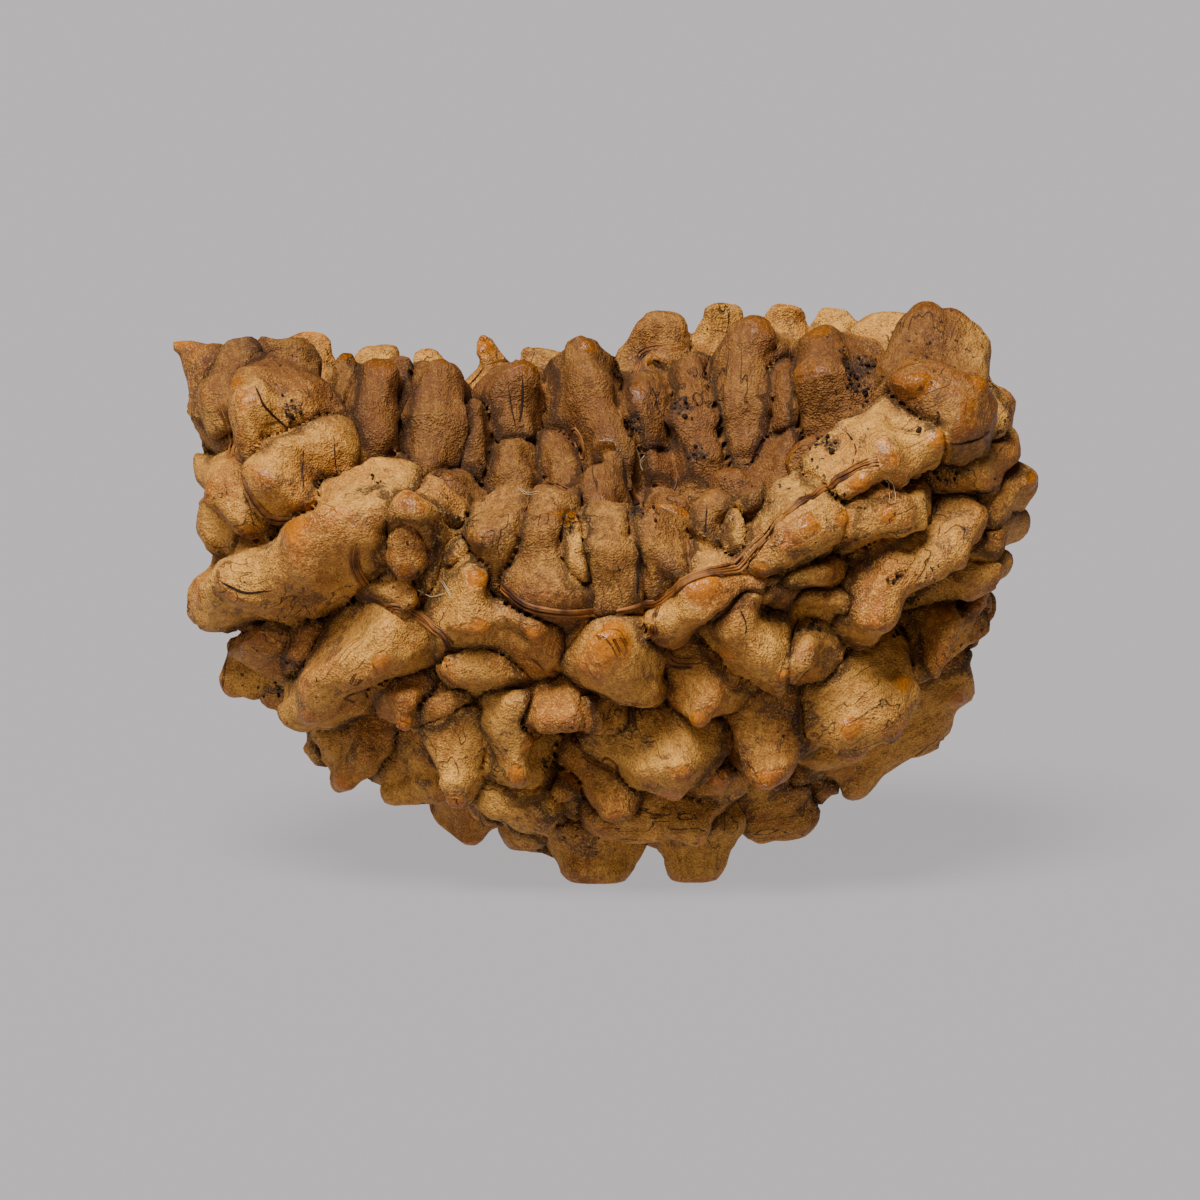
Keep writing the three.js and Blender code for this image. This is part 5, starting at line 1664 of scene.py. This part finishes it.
roots = tracks[rng.integers(0, len(tracks), FUZZ), rng.integers(0, tracks.shape[1], FUZZ)]
start = points[roots]
lean = rng.normal(size=(FUZZ, 3)) * 0.9 + normals[roots] * rng.uniform(0.1, 1.0, (FUZZ, 1))
lean = lean / np.linalg.norm(lean, axis=1, keepdims=True)
bend = rng.normal(size=(FUZZ, 3)) * 0.35 - normals[roots] * 0.2
size = rng.uniform(0.15, 0.5, (FUZZ, 1, 1))
t = np.linspace(-0.1, 1, FUZZ_POINTS)[None, :, None]
fuzz_paths = start[:, None] + size * (lean[:, None] * t + bend[:, None] * t * t)
fuzz_radii = rng.uniform(0.006, 0.012, (FUZZ, 1)) * (1.1 - 0.8 * np.linspace(0, 1, FUZZ_POINTS))
seam_fuzz = mesh_object("seam_fuzz", *tubes(fuzz_paths, fuzz_radii, 4))

hair_parts = []
for path in HAIR_LINES:
    for laid, _ in draped(skin, path):
        hair_parts.append(strands_on(laid, **PALE_HAIR))
pale_hairs = mesh_object("pale_hairs", *joined(hair_parts))
print("faces of the fuzz:", len(seam_fuzz.data.polygons))
print("faces of the hairs:", len(pale_hairs.data.polygons))

# %% [markdown]
# Black soil is left in the deepest hollows: crumbs from 0.03 to 0.25 mm, thick round a few
# spots that the picture shows and thin along the deep seams. A crumb is a ball of 18 points
# with an uneven radius, flattened a little, half sunk in the skin.

# %% Crumbs of soil
SEAM_CRUMBS = 1100
DEEPEST_RELIEF = -1.2  # they lie where the fine relief is lower than this


def octahedron_ball():
    """An octahedron whose edges are halved, pushed out to a ball: 18 points, 32 faces."""
    corners = [(1, 0, 0), (0, 1, 0), (-1, 0, 0), (0, -1, 0), (0, 0, 1), (0, 0, -1)]
    ball = [np.array(corner, dtype=float) for corner in corners]
    middle = {}
    faces = []
    for k in range(4):
        for top, flip in ((4, False), (5, True)):
            a, b = (k, (k + 1) % 4) if not flip else ((k + 1) % 4, k)
            ids = []
            for one, two in ((a, b), (b, top), (top, a)):
                key = (min(one, two), max(one, two))
                if key not in middle:
                    middle[key] = len(ball)
                    between = ball[one] + ball[two]
                    ball.append(between / np.linalg.norm(between))
                ids.append(middle[key])
            ab, bt, ta = ids
            faces += [(a, ab, ta), (ab, b, bt), (ta, bt, top), (ab, bt, ta)]
    return np.array(ball), np.array(faces)


places = []
for x, height, spread, many in SOIL_SPOTS:
    centre = seen_point(skin, x, height)[0]
    if centre is not None:
        places.append(centre + rng.normal(size=(many, 3)) * spread)
places = nearest_vertices(np.concatenate(places))
deepest = np.nonzero((fine < DEEPEST_RELIEF) & (points[:, 2] > 0.3))[0]
places = np.concatenate([places, rng.choice(deepest, SEAM_CRUMBS)])

ball, ball_faces = octahedron_ball()
crumbs = len(places)
sizes = 0.02 + 0.075 * rng.random((crumbs, 1, 1)) ** 3
uneven = rng.uniform(0.65, 1.25, (crumbs, len(ball), 1))
stretch = rng.uniform(0.6, 1.3, (crumbs, 1, 3))
beside = rng.uniform(-0.1, 0.1, (crumbs, 1, 3))
crumb_points = points[places][:, None] + beside + ball * uneven * stretch * sizes
crumb_faces = ball_faces[None] + (np.arange(crumbs) * len(ball))[:, None, None]
soil = mesh_object("soil_crumbs", crumb_points.reshape(-1, 3), crumb_faces.reshape(-1, 3))
print("crumbs:", crumbs, "faces:", len(soil.data.polygons))

# %% [markdown]
# The fibres are dried plant veins, a dull orange brown, darker where they are old. The pale
# hairs are bare cellulose and light. Soil is nearly black and dull, because light that goes in
# between crumbs hardly comes out, and the crack lines share its finish as painted crack shade.

# %% Finishes of the small things
fibre_finish, tree, strand = new_material("dried_vein_fibre")
at = in_millimetres(tree)
fibre_tone = noise(tree, at, 0.8, 3, 0.6)
fibre_colour = mix(tree, fade(tree, fibre_tone, 0.35, 0.65), linear("#42210a"), linear("#8a5520"))
tree.links.new(fibre_colour, strand.inputs["Base Color"])
strand.inputs["Roughness"].default_value = 0.6
strand.inputs["Specular IOR Level"].default_value = 0.3

hair_finish, tree, strand = new_material("bare_cellulose_hair")
strand.inputs["Base Color"].default_value = linear("#c9b48c")
strand.inputs["Roughness"].default_value = 0.45

# One near-black finish: the soil's own colour on the crumbs, painted crack shade on the cracks.
soil_and_crack_shade_finish, tree, crumb = new_material("dry_black_soil_and_crack_shade")
at = in_millimetres(tree)
soil_and_crack_shade_colour = mix(tree, noise(tree, at, 0.2, 2, 0.6), linear("#0b0908"), linear("#3a2417"))
tree.links.new(soil_and_crack_shade_colour, crumb.inputs["Base Color"])
crumb.inputs["Roughness"].default_value = 0.9
crumb.inputs["Specular IOR Level"].default_value = 0.2

finishes = {
    seam_fibres: fibre_finish,
    seam_fuzz: fibre_finish,
    pale_hairs: hair_finish,
    crack_shade_lines: soil_and_crack_shade_finish,
    soil: soil_and_crack_shade_finish,
}
for piece, finish in finishes.items():
    set_points(piece.data, np.clip(mesh_points(piece.data), low, high))
    piece.data.materials.append(finish)
    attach(piece, "root")
print("small pieces:", [piece.name for piece in finishes])

# %% [markdown]
# The floor is a plain pale sheet that fills the picture. The photograph's light is a large soft
# one, high over the front: tops are bright, undersides dark, and only a thin shadow shows at
# the foot. Sun lamps light near and far floor alike, so the sheet stays one plain grey, and a
# wide sun angle gives the softness. A weak pale world fills the shadows, and the sheet is lit
# through from below, as on a light table, which keeps the stone's shadow on it faint.

# %% Floor and light
FLOOR_HALF = 3000  # mm from its middle to its edge
floor_corners = [(-1, -1, 0), (1, -1, 0), (1, 1, 0), (-1, 1, 0)]
floor = mesh_object("floor", np.array(floor_corners) * FLOOR_HALF, [(0, 1, 2, 3)])
floor_finish, tree, sheet = new_material("matt_backdrop_paper")
sheet.inputs["Base Color"].default_value = linear("#504d4e")
sheet.inputs["Emission Color"].default_value = linear("#b4b0b1")
sheet.inputs["Emission Strength"].default_value = 1.08
sheet.inputs["Roughness"].default_value = 1.0
sheet.inputs["Specular IOR Level"].default_value = 0.0
floor.data.materials.append(floor_finish)
floor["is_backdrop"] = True


def soft_sun(name, azimuth, height, strength, softness):
    """A sun that shines from this direction, in degrees, azimuth 0 being the camera's side."""
    turn, rise = math.radians(azimuth), math.radians(height)
    place = (math.sin(turn) * math.cos(rise), -math.cos(turn) * math.cos(rise), math.sin(rise))
    data = bpy.data.lights.new(name, "SUN")
    data.energy = strength
    data.angle = math.radians(softness)
    lamp = bpy.data.objects.new(name, data)
    lamp.rotation_euler = Vector(place).to_track_quat("Z", "Y").to_euler()
    bpy.context.scene.collection.objects.link(lamp)


soft_sun("overhead", -20, 58, 6.9, 28)
soft_sun("front_left", -40, 25, 0.5, 50)
world = bpy.data.worlds.new("studio")
world.use_nodes = True
world.node_tree.nodes["Background"].inputs["Color"].default_value = linear("#b4b0b1")
world.node_tree.nodes["Background"].inputs["Strength"].default_value = 0.12
bpy.context.scene.world = world
print("lamps:", len(bpy.data.lights))

# %% Sizes, and the end
boxes = {"cad": CAD_BOX, "visual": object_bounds()}
sizes = {name: [list(map(float, corner)) for corner in box] for name, box in boxes.items()}
